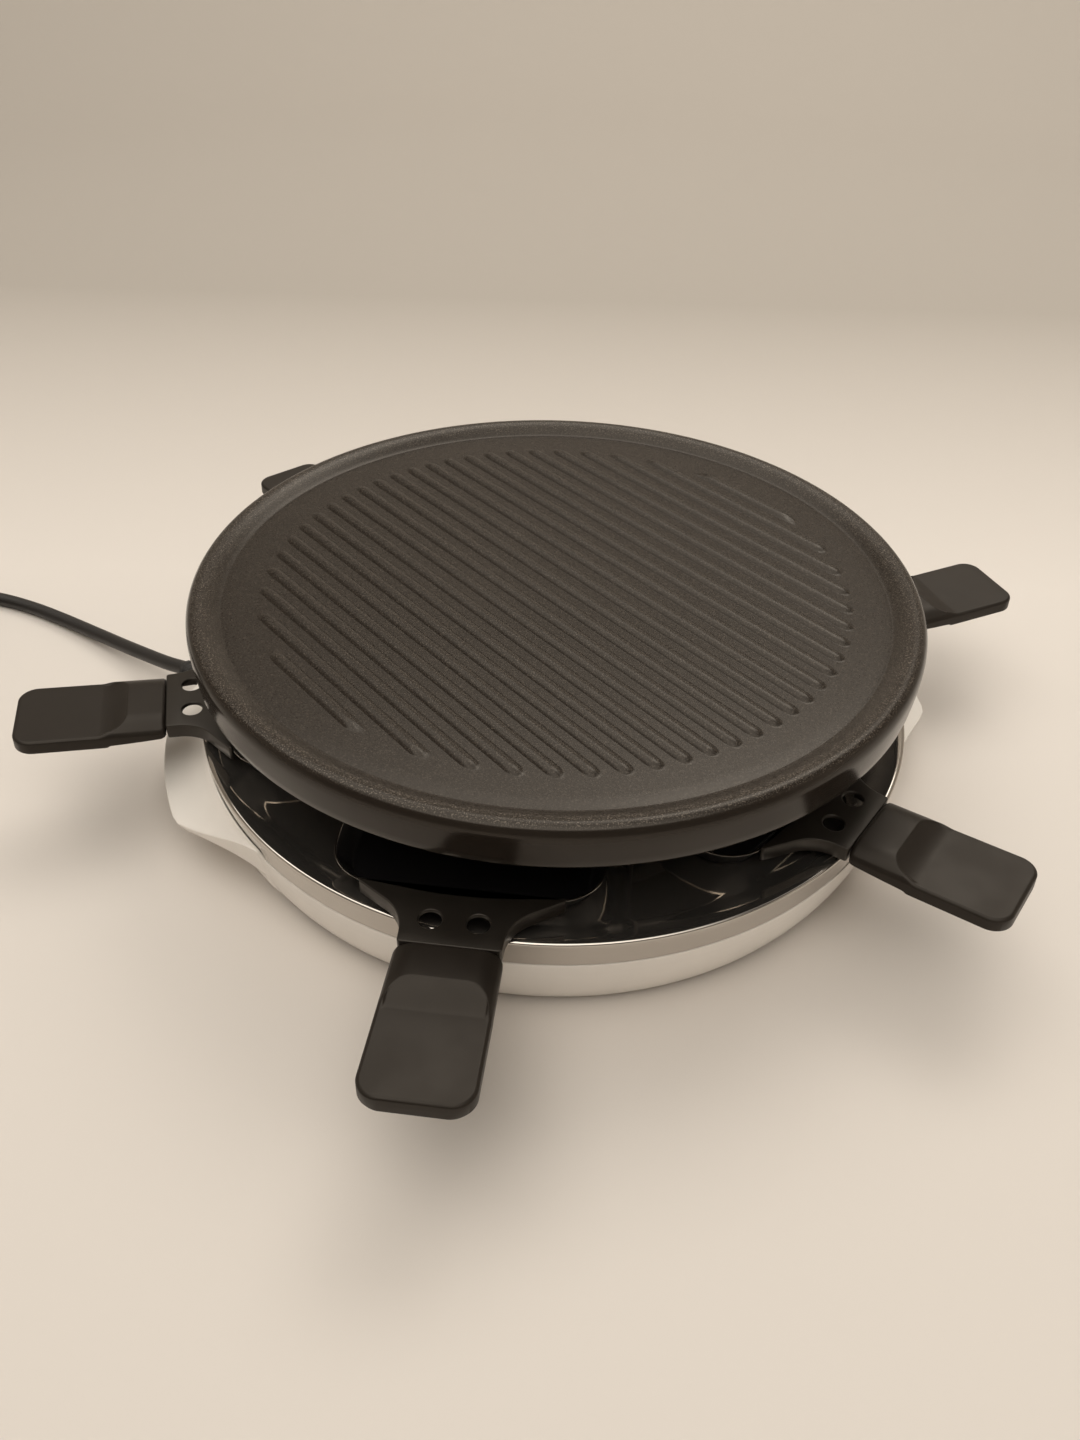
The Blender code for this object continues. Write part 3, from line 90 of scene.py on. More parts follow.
class Nodes:
    """A Principled material with short calls for its node tree."""

    def __init__(self, name, colour, roughness, metallic=0.0, **sockets):
        self.material = bpy.data.materials.new(name)
        self.material.use_nodes = True
        self.tree = self.material.node_tree
        self.shader = self.tree.nodes["Principled BSDF"]
        self.set(self.shader, {"Base Color": (*colour, 1.0), "Roughness": roughness,
                               "Metallic": metallic, **sockets})
        self.colour = colour
        self.place = self.tree.nodes.new("ShaderNodeTexCoord").outputs["Object"]
        self.normal = None

    def set(self, node, values):
        """Give a node's sockets their values by name."""
        for name, value in values.items():
            node.inputs[name].default_value = value

    def node(self, kind, links=(), **values):
        """Add a node, with its values and what feeds it."""
        made = self.tree.nodes.new(kind)
        self.set(made, values)
        for socket, source in dict(links).items():
            self.tree.links.new(source, made.inputs[socket])
        return made

    def noise(self, scale, detail=2.0, stretch=None):
        """Noise over the object's own coordinates, which can be stretched first."""
        place = self.place
        if stretch:
            place = self.node("ShaderNodeMapping", {"Vector": place}, Scale=stretch).outputs[0]
        return self.node("ShaderNodeTexNoise", {"Vector": place}, Scale=scale,
                         Detail=detail).outputs["Fac"]

    def ramp(self, source, low, high, start=0.35, end=0.65):
        """Map a noise to a number range."""
        made = self.node("ShaderNodeMapRange", {"Value": source})
        for socket, value in zip(made.inputs[1:5], (start, end, low, high)):
            socket.default_value = value
        return made.outputs[0]

    def mix(self, share, first, second):
        """Blend two colours, each a plain colour or what another node gives."""
        made = self.tree.nodes.new("ShaderNodeMix")
        made.data_type = "RGBA"
        self.tree.links.new(share, made.inputs["Factor"])
        for socket, value in ((made.inputs[6], first), (made.inputs[7], second)):
            if isinstance(value, tuple):
                socket.default_value = (*value, 1.0)
            else:
                self.tree.links.new(value, socket)
        return made.outputs[2]

    def tint(self, share, colour):
        """Blend the base colour towards another where share is 1."""
        link = self.shader.inputs["Base Color"].links
        under = link[0].from_socket if link else self.colour
        self.tree.links.new(self.mix(share, under, colour), self.shader.inputs["Base Color"])

    def times(self, first, second):
        """Multiply two numbers, such as a noise and the share of it that shows."""
        made = self.node("ShaderNodeMath", {0: first, 1: second})
        made.operation = "MULTIPLY"
        return made.outputs[0]

    def measure(self, operation, source, way=None):
        """A vector's length, or how far it reaches along another."""
        made = self.node("ShaderNodeVectorMath", {0: source})
        made.operation = operation
        if way:
            made.inputs[1].default_value = way
        return made.outputs["Value"]

    def rough(self, source):
        """Let a number drive the roughness."""
        self.tree.links.new(source, self.shader.inputs["Roughness"])

    def bump(self, source, distance, strength=1.0):
        """Add relief on top of what is there already."""
        links = {"Height": source}
        if self.normal:
            links["Normal"] = self.normal
        made = self.node("ShaderNodeBump", links, Distance=distance, Strength=strength)
        self.normal = made.outputs[0]
        self.tree.links.new(self.normal, self.shader.inputs["Normal"])


def plate_coating():
    """A dark non-stick coating, smooth on the skirt, with a fine metallic fleck on top that is painted
    brighter on the crest and rib tops as a painted highlight.
    """
    m = Nodes("plate_coating", (0.0150, 0.0113, 0.0086), 0.36,
              **{"Specular IOR Level": 0.35, "Specular Tint": WARM_GLOSS})
    height = m.node("ShaderNodeSeparateXYZ", {"Vector": m.place}).outputs["Z"]
    level = m.node("ShaderNodeMapping", {"Vector": m.place}, Scale=(1.0, 1.0, 0.0)).outputs[0]
    top = m.ramp(m.measure("LENGTH", level), 1.0, 0.0, *SMOOTH_EDGE)
    m.tint(m.ramp(m.noise(9.0, 3.0), 0.0, 0.5), (0.0185, 0.0145, 0.0115))
    # Painted highlight: the coating's own flecks show more the higher the surface stands, most on the lip's
    # crest and on the rib tops
    highlight_by_height = m.ramp(height, 0.28, 1.0, *HIGHLIGHT_HEIGHTS)
    flecks_and_highlight = m.times(m.ramp(m.noise(1900.0, 1.0), 0.0, 0.95, 0.54, 0.72), m.times(highlight_by_height, top))
    m.tint(flecks_and_highlight, (0.17, 0.144, 0.12))
    m.rough(m.ramp(m.times(m.noise(1500.0, 1.0), top), 0.18, 0.34, 0.10, 0.60))
    m.bump(m.times(m.noise(2200.0, 1.5), top), 0.008 * MM, 0.8)
    return m.material


def polished_steel(name, colour, roughness, waviness, streak, metal=1.0):
    """Sheet or bar steel with a slow waviness and fine streaks."""
    m = Nodes(name, colour, roughness, metal)
    m.tint(m.ramp(m.noise(14.0, 2.0), 0.0, 0.4), tuple(c * 0.9 for c in colour))
    m.rough(m.ramp(m.noise(60.0, 3.0), roughness * 0.8, roughness * 1.3))
    m.bump(m.noise(18.0, 1.0), waviness)
    m.bump(m.noise(900.0, 2.0, streak), 0.004 * MM, 0.4)
    return m.material


def moulded(name, colour, roughness, grain, depth, **sockets):
    """Moulded plastic, rubber or coating: soft tone changes and a fine grain."""
    m = Nodes(name, colour, roughness, **sockets)
    m.tint(m.ramp(m.noise(24.0, 3.0), 0.0, 0.5), tuple(min(c * 1.16, 0.95) for c in colour))
    m.rough(m.ramp(m.noise(70.0, 2.0), roughness * 0.9, roughness * 1.12))
    m.bump(m.noise(grain, 2.0), depth, 0.7)
    return m.material


MATERIALS = {
    "plate": plate_coating(),
    "tray": polished_steel("tray_mirror", (0.56, 0.525, 0.485), 0.07, 0.5 * MM, (1.0, 1.0, 1.0), 0.95),
    "shell": moulded("shell_plastic", (0.80, 0.765, 0.72), 0.24, 700.0, 0.004 * MM),
    "cover": moulded("cover_plastic", (0.72, 0.69, 0.65), 0.45, 1500.0, 0.02 * MM),
    "rubber": moulded("foot_rubber", (0.022, 0.021, 0.020), 0.72, 1400.0, 0.03 * MM),
    "element": moulded("element_tube", (0.045, 0.040, 0.037), 0.5, 900.0, 0.02 * MM, Metallic=0.8),
    "sheet": polished_steel("bracket_sheet", (0.12, 0.115, 0.11), 0.34, 0.1 * MM, (1.0, 1.0, 0.1)),
    "ceramic": moulded("block_ceramic", (0.74, 0.70, 0.60), 0.62, 1200.0, 0.03 * MM),
    "dish": moulded("dish_coating", (0.0085, 0.008, 0.0085), 0.34, 1500.0, 0.004 * MM,
                    **{"Specular IOR Level": 0.32}),
    "edge": polished_steel("dish_bare_edge", (0.62, 0.58, 0.53), 0.2, 0.02 * MM, (1.0, 1.0, 1.0)),
    "collar": moulded("collar_moulding", (0.013, 0.0107, 0.0086), 0.36, 1300.0, 0.006 * MM,
                      **{"Specular IOR Level": 0.42, "Specular Tint": WARM_GLOSS}),
    "grip": moulded("grip_moulding", (0.0130, 0.0100, 0.0078), 0.40, 1700.0, 0.007 * MM,
                    **{"Specular IOR Level": 0.31, "Specular Tint": WARM_GLOSS}),
    "screw": polished_steel("screw_steel", (0.45, 0.44, 0.42), 0.35, 0.01 * MM, (1.0, 1.0, 1.0)),
    "cord": moulded("cord_sheath", (0.014, 0.012, 0.011), 0.46, 1500.0, 0.02 * MM),
    "plug": moulded("plug_moulding", (0.026, 0.024, 0.023), 0.48, 1500.0, 0.02 * MM),
    "pin": polished_steel("pin_nickel", (0.66, 0.62, 0.56), 0.2, 0.01 * MM, (1.0, 1.0, 1.0)),
}

# Objects and meshes

WELD = 0.001 * MM
BORE_PARTS = 32
CORNER_PARTS = 4
EDGE_SHARE = 0.49


def add(name, data):
    """Put a new object with that data in the scene."""
    made = bpy.data.objects.new(name, data)
    bpy.context.scene.collection.objects.link(made)
    return made


def piece(name, data, material, body, *replaced, slot=None, smooth=35.0):
    """Add a piece, shade it smooth up to that angle in degrees, and let it ride on its body."""
    made = add(name, data)
    data.materials.clear()
    data.materials.append(MATERIALS[material])
    if made.type == "MESH":
        data.shade_smooth()
        data.set_sharp_from_angle(angle=math.radians(smooth))
    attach(made, body)
    if replaced:
        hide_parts(*replaced)
    return made


def from_lists(name, points, faces, place=None):
    """A mesh with close points welded and its faces turned outwards."""
    data = bpy.data.meshes.new(name)
    data.from_pydata([tuple(p) for p in points], [], faces)
    work = bmesh.new()
    work.from_mesh(data)
    bmesh.ops.remove_doubles(work, verts=work.verts, dist=WELD)
    bmesh.ops.recalc_face_normals(work, faces=work.faces)
    work.to_mesh(data)
    work.free()
    if place:
        data.transform(place)
    return data


def rings(name, loops, closed=False):
    """Skin loops of equal length; the ends are capped unless the skin closes on itself."""
    count = len(loops[0])
    points = [p for loop in loops for p in loop]
    faces = []
    for k in range(len(loops) if closed else len(loops) - 1):
        low, high = k * count, (k + 1) % len(loops) * count
        for i in range(count):
            j = (i + 1) % count
            faces.append((low + i, low + j, high + j, high + i))
    if not closed:
        faces += [tuple(range(count))[::-1], tuple(range((len(loops) - 1) * count, len(points)))]
    return from_lists(name, points, faces)


def lathe(name, profile, steps, place=None):
    """Turn (radius, height) points about +Z; points on the axis become poles."""
    points, faces = [], []
    for radius, height in profile:
        for k in range(steps):
            points.append(turned(radius, TAU * k / steps, height))
    for row in range(len(profile) - 1):
        for i in range(steps):
            j = (i + 1) % steps
            a, b = row * steps, (row + 1) * steps
            if profile[row][0] == 0:
                faces.append((a, b + j, b + i))
            elif profile[row + 1][0] == 0:
                faces.append((a + i, a + j, b))
            else:
                faces.append((a + i, a + j, b + j, b + i))
    return from_lists(name, points, faces, place)


def rounded(before, here, after, radius):
    """The corner of a profile as a short curve that takes up less than half of either edge."""
    corner = Vector(here)
    back, ahead = Vector(before) - corner, Vector(after) - corner
    size = min(radius, back.length * EDGE_SHARE, ahead.length * EDGE_SHARE)
    start, end = corner + back.normalized() * size, corner + ahead.normalized() * size
    shares = [k / CORNER_PARTS for k in range(CORNER_PARTS + 1)]
    return [tuple(start * (1 - t) ** 2 + corner * 2 * t * (1 - t) + end * t ** 2) for t in shares]


def filleted(corners, radii, steps):
    """Round the corners of a closed outline, each to its own radius."""
    outline = []
    for i, corner in enumerate(corners):
        here = Vector(corner)
        back = (Vector(corners[i - 1]) - here).normalized()
        ahead = (Vector(corners[(i + 1) % len(corners)]) - here).normalized()
        if not radii[i]:
            outline.append(here)
            continue
        half = back.angle(ahead) / 2
        centre = here + (back + ahead).normalized() * radii[i] / math.sin(half)
        start = here + back * radii[i] / math.tan(half) - centre
        sweep = start.angle_signed(here + ahead * radii[i] / math.tan(half) - centre)
        for k in range(steps[i] + 1):
            arm = start.copy()
            arm.rotate(Matrix.Rotation(-sweep * k / steps[i], 2))
            outline.append(centre + arm)
    return outline


def inset(outline, distance):
    """Move every edge of an anticlockwise outline inwards by the same distance."""
    moved = []
    for i, here in enumerate(outline):
        back = (here - outline[i - 1]).normalized()
        ahead = (outline[(i + 1) % len(outline)] - here).normalized()
        way = Vector((-back.y - ahead.y, back.x + ahead.x)) / (1 + back.dot(ahead))
        moved.append(here + way * distance)
    return moved


def mirrored(half, values=False):
    """The other half of a list that starts and ends on the X axis."""
    return list(half) + [v if values else (v[0], -v[1]) for v in half[-2:0:-1]]


def layers(name, outline, steps):
    """Skin an outline through (inset, height) steps, with capped ends."""
    return rings(name, [[(q.x, q.y, z) for q in inset(outline, grow)] for grow, z in steps])


def cut(target, data):
    """Cut a body out of a piece and apply the cut."""
    tool = add("tool", data)
    step = target.modifiers.new("cut", "BOOLEAN")
    step.object = tool
    bpy.context.view_layer.update()
    graph = bpy.context.evaluated_depsgraph_get()
    fresh = bpy.data.meshes.new_from_object(target.evaluated_get(graph))
    target.modifiers.clear()
    target.data = fresh
    bpy.data.objects.remove(tool)


def block(name, low, high):
    """A box between two corners."""
    (x0, y0, z0), (x1, y1, z1) = low, high
    corners = [Vector(q) for q in ((x0, y0), (x1, y0), (x1, y1), (x0, y1))]
    return layers(name, corners, [(0.0, z0), (0.0, z1)])


def post(name, radius, low, high, place):
    """An upright rod, to cut a round bore with."""
    outline = [(0, high), (radius, high), (radius, low), (0, low)]
    return lathe(name, outline, BORE_PARTS, Matrix.Translation(place))


def joined(name, *parts):
    """One mesh that holds several touching bodies."""
    work = bmesh.new()
    for part in parts:
        work.from_mesh(part)
    data = bpy.data.meshes.new(name)
    work.to_mesh(data)
    work.free()
    return data


def placed(data, place):
    """A copy of a mesh, moved to its place."""
    copy = data.copy()
    copy.transform(place)
    return copy


# Grill plate

RIB_COUNT = 25
RIB_PITCH = 10.1 * MM
RIB_FIELD = 124.8 * MM
RIB_HEIGHT = 1.38 * MM
RIB_HALF = 3.1 * MM
RIB_CAP = 5.2 * MM
RIB_TURN = -65.0
FLAT_FIELD = 127.3 * MM
RIB_CURVE = 2.1
# Where the mesh has its lines: across a rib, near the field's edge, and from the rib's end inwards
RIB_SHARES = (0.0, 0.2, 0.38, 0.55, 0.7, 0.82, 0.91, 0.96, 1.0, 1.05)
EDGE_DEGREES = (0.6, 1.8, 3.4, 5.2, 7.0, 8.8, 10.4)
END_STEPS = [s * MM for s in (0, 1, 1.7, 2.3, 2.9, 3.5, 4.1, 4.8, 5.5, 6.2, 6.9, 7.7, 8.5, 9.5, 11, 14)]
SHORT_REACH = 30 * MM
FIELD_PARTS = 12


def rib_offset(index):
    """How far a rib's middle line lies from the plate's middle."""
    return (index - (RIB_COUNT - 1) / 2) * RIB_PITCH


def rib_height(along, across):
    """Height of the ribs over the flat: broad round bumps that end in round tips."""
    index = round(across / RIB_PITCH + (RIB_COUNT - 1) / 2)
    if not 0 <= index < RIB_COUNT:
        return 0.0
    offset = rib_offset(index)
    reach = math.sqrt(RIB_FIELD ** 2 - offset ** 2)
    past = max(0.0, abs(along) - reach + RIB_CAP) / RIB_CAP
    away = math.hypot((across - offset) / RIB_HALF, past)
    return RIB_HEIGHT * (1 - min(away, 1.0) ** RIB_CURVE)


def plate_mesh():
    """The ribbed field as rows along the ribs, joined to a turned rim, skirt and underside."""
    lines = []
    for k in range(RIB_COUNT):
        middle = rib_offset(k)
        for side in (-1, 1):
            lines += [middle + side * share * RIB_HALF for share in RIB_SHARES if share or side > 0]
        if k < RIB_COUNT - 1:
            lines.append(middle + RIB_PITCH / 2)
    caps = [FLAT_FIELD * math.cos(math.radians(a)) for a in EDGE_DEGREES]
    lines = sorted(lines + caps + [-v for v in caps])
    turn = Matrix.Rotation(math.radians(RIB_TURN), 4, "Z")
    points, faces, rows = [], [], []
    for v in lines:
        reach = math.sqrt(FLAT_FIELD ** 2 - v * v)
        share = min(1.0, reach / SHORT_REACH)
        stops = [-reach + e * share for e in END_STEPS]
        inner = reach - END_STEPS[-1] * share
        stops += [-inner + 2 * inner * k / FIELD_PARTS for k in range(1, FIELD_PARTS)]
        stops += [reach - e * share for e in END_STEPS[::-1]]
        rows.append([len(points) + i for i in range(len(stops))])
        points += [turn @ Vector((u, v, PLATE_FLAT + rib_height(u, v))) for u in stops]
    for low, high in zip(rows, rows[1:]):
        for i in range(len(low) - 1):
            faces.append((low[i], low[i + 1], high[i + 1], high[i]))
    border = [row[-1] for row in rows] + [row[0] for row in rows[::-1]]
    # The ring crosses the field's two ends along a whole row each
    ends = {(rows[-1][-1], rows[-1][0]): rows[-1], (rows[0][0], rows[0][-1]): rows[0][::-1]}
    bearings = [math.atan2(points[i].y, points[i].x) for i in border]
    ring = border
    for radius, height in plate_profile():
        if radius == 0:
            pole = len(points)
            points.append(Vector((0.0, 0.0, height)))
            faces += [(ring[i], ring[(i + 1) % len(ring)], pole) for i in range(len(ring))]
            break
        new = list(range(len(points), len(points) + len(border)))
        points += [turned(radius, a, height) for a in bearings]
        for i in range(len(border)):
            j = (i + 1) % len(border)
            cell = ends.get((ring[i], ring[j])) if ring is border else None
            if cell:
                faces.append(tuple(cell[::-1]) + (new[j], new[i]))
            else:
                faces.append((ring[i], ring[j], new[j], new[i]))
        ring = new
    return from_lists("plate", points, faces)


def plate_profile():
    """From the flat over the lip, down the skirt and back under to the middle, in millimetres."""
    outline = [(134.0, 94.5), (139.9, 94.5), (140.4, 94.44), (140.9, 94.34), (141.4, 94.42), (142.2, 94.75),
               (143.4, 95.5), (144.8, 96.4), (146.2, 97.25), (147.6, 97.9), (149.0, 98.33), (150.3, 98.5),
               (151.5, 98.38), (152.6, 97.9), (153.5, 97.15), (154.2, 96.2), (154.7, 95.1), (154.95, 93.8),
               (155.0, 92.4), (154.95, 89.0), (154.6, 84.5), (154.3, 81.3), (153.9, 80.4), (153.2, 80.0),
               (152.0, 80.0), (151.4, 80.3), (151.1, 81.0), (150.9, 87.8), (150.3, 89.4), (149.2, 90.3),
               (147.5, 90.5), (120.0, 90.5), (60.0, 90.5), (0.0, 90.5)]
    return [(r * MM, z * MM) for r, z in outline]


piece("grill_plate_body", plate_mesh(), "plate", "plate", "grill_plate", smooth=50.0)

# Tray and its band

ELEMENT_TURN = 145.4
LEG_RADIUS = 138.5 * MM
LEG_SPACING = 10.5 * MM
LEG_SIZE = 6.5 * MM
LEG_GAP = 0.8 * MM
LEG_HOLE_HEIGHTS = (38 * MM, 43 * MM)
TRAY_PARTS = 256


def leg_place(side):
    """Where one of the element's two legs passes through the tray."""
    return around(LEG_RADIUS, ELEMENT_TURN) + around(side * LEG_SPACING / 2, ELEMENT_TURN + 90.0)


def tray_mesh():
    """The floor, the rolled rim and the band outside it, then the faces behind, in millimetres."""
    profile = [(0, 41), (40, 41), (90, 41), (130, 41), (143.5, 41), (145, 41.05), (146.6, 41.4),
               (149, 42.3), (151.6, 43.2), (153.8, 43.75), (155.2, 44.05), (156.1, 44.1),
               (156.75, 43.9), (157.1, 43.5), (157.2, 43.0), (157.0, 41.0), (156.4, 36.5),
               (155.7, 31.3), (154.9, 31.3), (155.6, 36.5), (156.2, 41.0), (156.3, 42.6),
               (155.6, 43.2), (151.6, 42.4), (146.8, 40.5), (145, 40.2), (0, 40.2)]
    return lathe("tray", [(r * MM, z * MM) for r, z in profile], TRAY_PARTS)


tray = piece("tray_body", tray_mesh(), "tray", "base", "reflector_tray", smooth=40.0)
for side in (-1, 1):
    cut(tray, post("post", LEG_SIZE / 2 + LEG_GAP, *LEG_HOLE_HEIGHTS, leg_place(side)))

# Base shell: angles in degrees, sizes of its section in millimetres

EAR_TURN = 178.5
EAR_FLAT = 13.3
EAR_END = 31.0
EAR_TAPER = 1.9
EAR_EASING = (-1.0, -0.5, 0.0, 0.5, 1.0)
LIP_END = 29.7
LIP_STEP = 1.3
LIP_PARTS = 10
SHELL_STEP = 1.5
EAR_REACH = 19.5
LEAST_EAR = 0.02
EAR_UNDER = 22.0
EAR_EDGE = 2.7
EAR_FLARE = 1.2
LIP_HEIGHT = 4.8
# The rounded edge, out from the wall and up from the lip
LIP_EDGE = ((-0.75, -0.1), (-0.05, 0.05))
SHELL_TOP = 31.0
SHELL_RISE = 28.3
SHELL_OUTER = 156.0
SHELL_FOOT = 148.5
SHELL_BASE = 3.0
FOOT_INNER = 146.3
RIM_INNER = 154.6
RIM_OUTER = 155.85
RIM_TOP = 39.9
WALL_INNER = 152.1
# The outer wall curves in from SHELL_OUTER to SHELL_FOOT over this height
WALL_FALL = 28.0
WALL_CURVE = 2.2
WALL_HEIGHTS = (16.4, 14.2, 12.0, 9.8, 7.7, 5.8, 4.2)
BULGE_START = 148.8
BULGE_SHARE = 0.25
INNER_BULGE = 0.3
# Up the inner face: radius, share of the bulge, and share of the rise that is still above
INNER_STEPS = ((146.4, 1.0, 0.84), (WALL_INNER, -INNER_BULGE, 0.40))
# Down the face: share of the ear's reach, share of its drop, and share of the plain wall's rise
FACE_SHARES = (
    (0.035, 0.10, 0.020), (0.10, 0.27, 0.030), (0.20, 0.43, 0.045), (0.33, 0.585, 0.065),
    (0.50, 0.74, 0.09), (0.70, 0.87, 0.115), (0.87, 0.955, 0.135), (1.00, 1.00, 0.155),
)
# Back under: share of the ear's reach, then the drop without an ear and with one
UNDERSIDE = ((1.0, -1.5, -0.1), (0.62, 0.8, -0.9), (0.2, 2.2, -2.6), (0.0, 3.6, -3.0))
# Roundings by the corner's place in the section
SOFT_CORNERS = {3: 0.3, 4: 0.45, 12: 1.1, 13: 0.8, 24: 0.9}


def ear_away(degrees):
    """Degrees to the middle of the nearer ear."""
    return abs((degrees - EAR_TURN + 90.0) % 180.0 - 90.0)


def ear_share(degrees):
    """How far out an ear stands there, from 0 to 1, with its corners eased."""
    total = 0.0
    for step in EAR_EASING:
        ramp = (EAR_END - ear_away(degrees) + step) / (EAR_END - EAR_FLAT)
        total += min(max(ramp, 0.0), 1.0) ** EAR_TAPER
    return total / len(EAR_EASING)


def shell_loop(degrees):
    """The shell's section at one bearing: its wall, and an ear that stands out like a brim."""
    share = ear_share(degrees)
    ear = smoothstep((LIP_END - ear_away(degrees)) / LIP_STEP)
    reach = EAR_REACH * share * max(ear, LEAST_EAR)
    outer = SHELL_OUTER + EAR_FLARE * ear
    bulge = (outer - BULGE_START) * BULGE_SHARE
    lip = SHELL_TOP + LIP_HEIGHT * ear
    edge = EAR_UNDER + EAR_EDGE
    edge += (lip - edge) * (1 - share) ** EAR_TAPER

    def wall(height):
        """Radius of the plain outer wall at a height."""
        fall = max((SHELL_TOP - height) / WALL_FALL, 0.0)
        return SHELL_FOOT + (outer - SHELL_FOOT) * (1 - fall ** WALL_CURVE)

    def face(out, down, wall_down):
        """A point on the ear's upper face, or on the wall where no ear stands out."""
        plain = SHELL_TOP - SHELL_RISE * wall_down
        height = plain + (lip - (lip - edge) * down - plain) * ear
        return wall(height) + reach * out, height

    def below(out, drop, ear_drop):
        """A point on the ear's underside, on the way back to the wall."""
        height = EAR_UNDER - drop * (1 - ear) - ear_drop * ear
        return wall(height) + reach * out - bulge * INNER_BULGE * ear, height

    corners = [(RIM_INNER, RIM_TOP), (RIM_INNER, SHELL_TOP), (RIM_OUTER + EAR_FLARE / 2 * ear, SHELL_TOP)]
    corners += [(outer + out, lip + up) for out, up in LIP_EDGE]
    corners += [face(*shares) for shares in FACE_SHARES]
    corners += [below(*step) for step in UNDERSIDE]
    corners += [(wall(height), height) for height in WALL_HEIGHTS]
    corners += [(SHELL_FOOT, SHELL_BASE), (FOOT_INNER, SHELL_BASE)]
    for radius, part, above in INNER_STEPS:
        corners.append((radius + bulge * part, SHELL_TOP - SHELL_RISE * above))
    corners += [(WALL_INNER, SHELL_TOP), (WALL_INNER, RIM_TOP)]
    loop = []
    for k, corner in enumerate(corners):
        if k in SOFT_CORNERS:
            loop += rounded(corners[k - 1], corner, corners[k + 1], SOFT_CORNERS[k])
        else:
            loop.append(corner)
    return [around(r * MM, degrees, z * MM) for r, z in loop]


# Sections all round, and close together where the lip rises to an ear
bearings = {round(SHELL_STEP * k, 2) for k in range(round(360 / SHELL_STEP))}
steps = [LIP_END - LIP_STEP * (1 - k / LIP_PARTS) for k in range(LIP_PARTS + 1)]
for middle in (EAR_TURN, EAR_TURN + 180.0):
    for side in (-1, 1):
        bearings |= {round((middle + side * step) % 360.0, 2) for step in steps}
piece("shell_body", rings("shell", [shell_loop(b) for b in sorted(bearings)], True),
      "shell", "base", "base_shell", smooth=30.0)

# Pans: the slit between collar and grip is at X = 0, and the dish is on the minus side

DISH_DEPTH = 10.0 * MM
DISH_WIDTH = 105.0 * MM
DISH_LENGTH = 100.5 * MM
DISH_SETBACK = 22.5 * MM
# The rim's corners as shares of the length and half width, then their radii as shares of the width
DISH_OUTLINE = ((0.0, 0.0), (0.065, 0.952), (0.395, 1.0), (0.95, 0.457), (1.0, 0.0))
DISH_CORNERS = (1.43, 0.185, 0.50, 0.150, 0.57)
DISH_STEPS = (12, 18, 8, 14, 8)
# The rings of the dish's mesh between which its rim is bare metal
BARE_RINGS = (8, 15)
COLLAR_TOP = DISH_DEPTH + 1.7 * MM
COLLAR_BOTTOM = COLLAR_TOP - 6.5 * MM
COLLAR_WALL = 1.9 * MM
COLLAR_ROOF = 1.4 * MM
COLLAR_SOFT = 0.55 * MM
COLLAR_ARC = (0.0, 0.4, 0.8, 1.2, math.pi / 2)
# The collar's lower edge: inset and height over the bottom
COLLAR_FOOT = ((0.3 * MM, 0.0), (0.1 * MM, 0.1 * MM), (0.0, 0.3 * MM))
COLLAR_RADII = [1.2 * MM, 17 * MM, 0.7 * MM, 0.5 * MM]
COLLAR_STEPS = [5, 16, 4, 3]
NECK_HALF = 18.2 * MM
NECK_END = -0.9 * MM
WAIST_HALF = 18.9 * MM
WAIST_PLACE = -14.0 * MM
WING_TIP = [(-26.0 * MM, 37.4 * MM), (-27.6 * MM, 37.8 * MM)]
WING_REACH = 37.0 * MM
WING_BACK = -33.0 * MM
RIM_GAP = 0.3 * MM
HOLLOW_HALF = 33.0 * MM
HOLLOW_ENDS = (-24.6 * MM, -35.2 * MM)
HOLE_SIZE = 8.4 * MM
HOLE_STEP = 17.1 * MM
HOLE_SETBACK = 11.8 * MM
HOLE_MOUTH = 1.25 * MM
HOLE_PARTS = 40
# The chamfer of a collar hole in millimetres: how much wider, and how far down
HOLE_FLARE = ((0.4, 0.02), (0.18, 0.1), (0.05, 0.25), (0.0, 0.45))
PAST_TOP = 1 * MM
PAST_BOTTOM = 2 * MM
TONGUE_TOP = COLLAR_TOP - 1.6 * MM
TONGUE_THICK = 3.4 * MM
TONGUE_START = -3.0 * MM
TONGUE_END = 9.0 * MM
TONGUE_HALF = 12.0 * MM
TAB_PLACE = (-DISH_SETBACK - 1.6 * MM, -DISH_SETBACK + 6 * MM)
TAB_HALF = 4.1 * MM
TAB_HEIGHTS = (DISH_DEPTH - 2.0 * MM, DISH_DEPTH - 1.2 * MM)
SCREW_SETBACK = 5.5 * MM
HEAD_SEAT = TONGUE_TOP - TONGUE_THICK - 1.4 * MM
SCREW_GAP = 0.3 * MM
# The screw in millimetres: radius, and how far below the seat
SCREW_PROFILE = (
    (0, -3.9), (1.3, -3.9), (1.3, 0), (2.6, 0), (2.8, 0.2), (2.75, 0.6), (2.45, 1.1), (1.9, 1.35), (0, 1.4),
)
SLOT_REACH = 1.6 * MM
SLOT_HALF = 0.3 * MM
SLOT_HEIGHTS = (HEAD_SEAT - 3 * MM, HEAD_SEAT - 0.9 * MM)


def pan_place(index):
    """Where a pan's own frame lies and which way it points."""
    degrees, reach, side = PANS[index]
    spot = around(PAN_REACH * reach, degrees, PAN_BASE) + around(PAN_REACH * side, degrees + 90.0)
    return Matrix.Translation(spot) @ Matrix.Rotation(math.radians(degrees), 4, "Z")


def dish_outline():
    """The rim from above: a rounded shape that narrows towards its far end."""
    corners = mirrored([(-DISH_SETBACK - DISH_LENGTH * along, DISH_WIDTH / 2 * across)
                        for along, across in DISH_OUTLINE])
    radii = mirrored([DISH_WIDTH * share for share in DISH_CORNERS], True)
    return filleted(corners, radii, mirrored(DISH_STEPS, True))


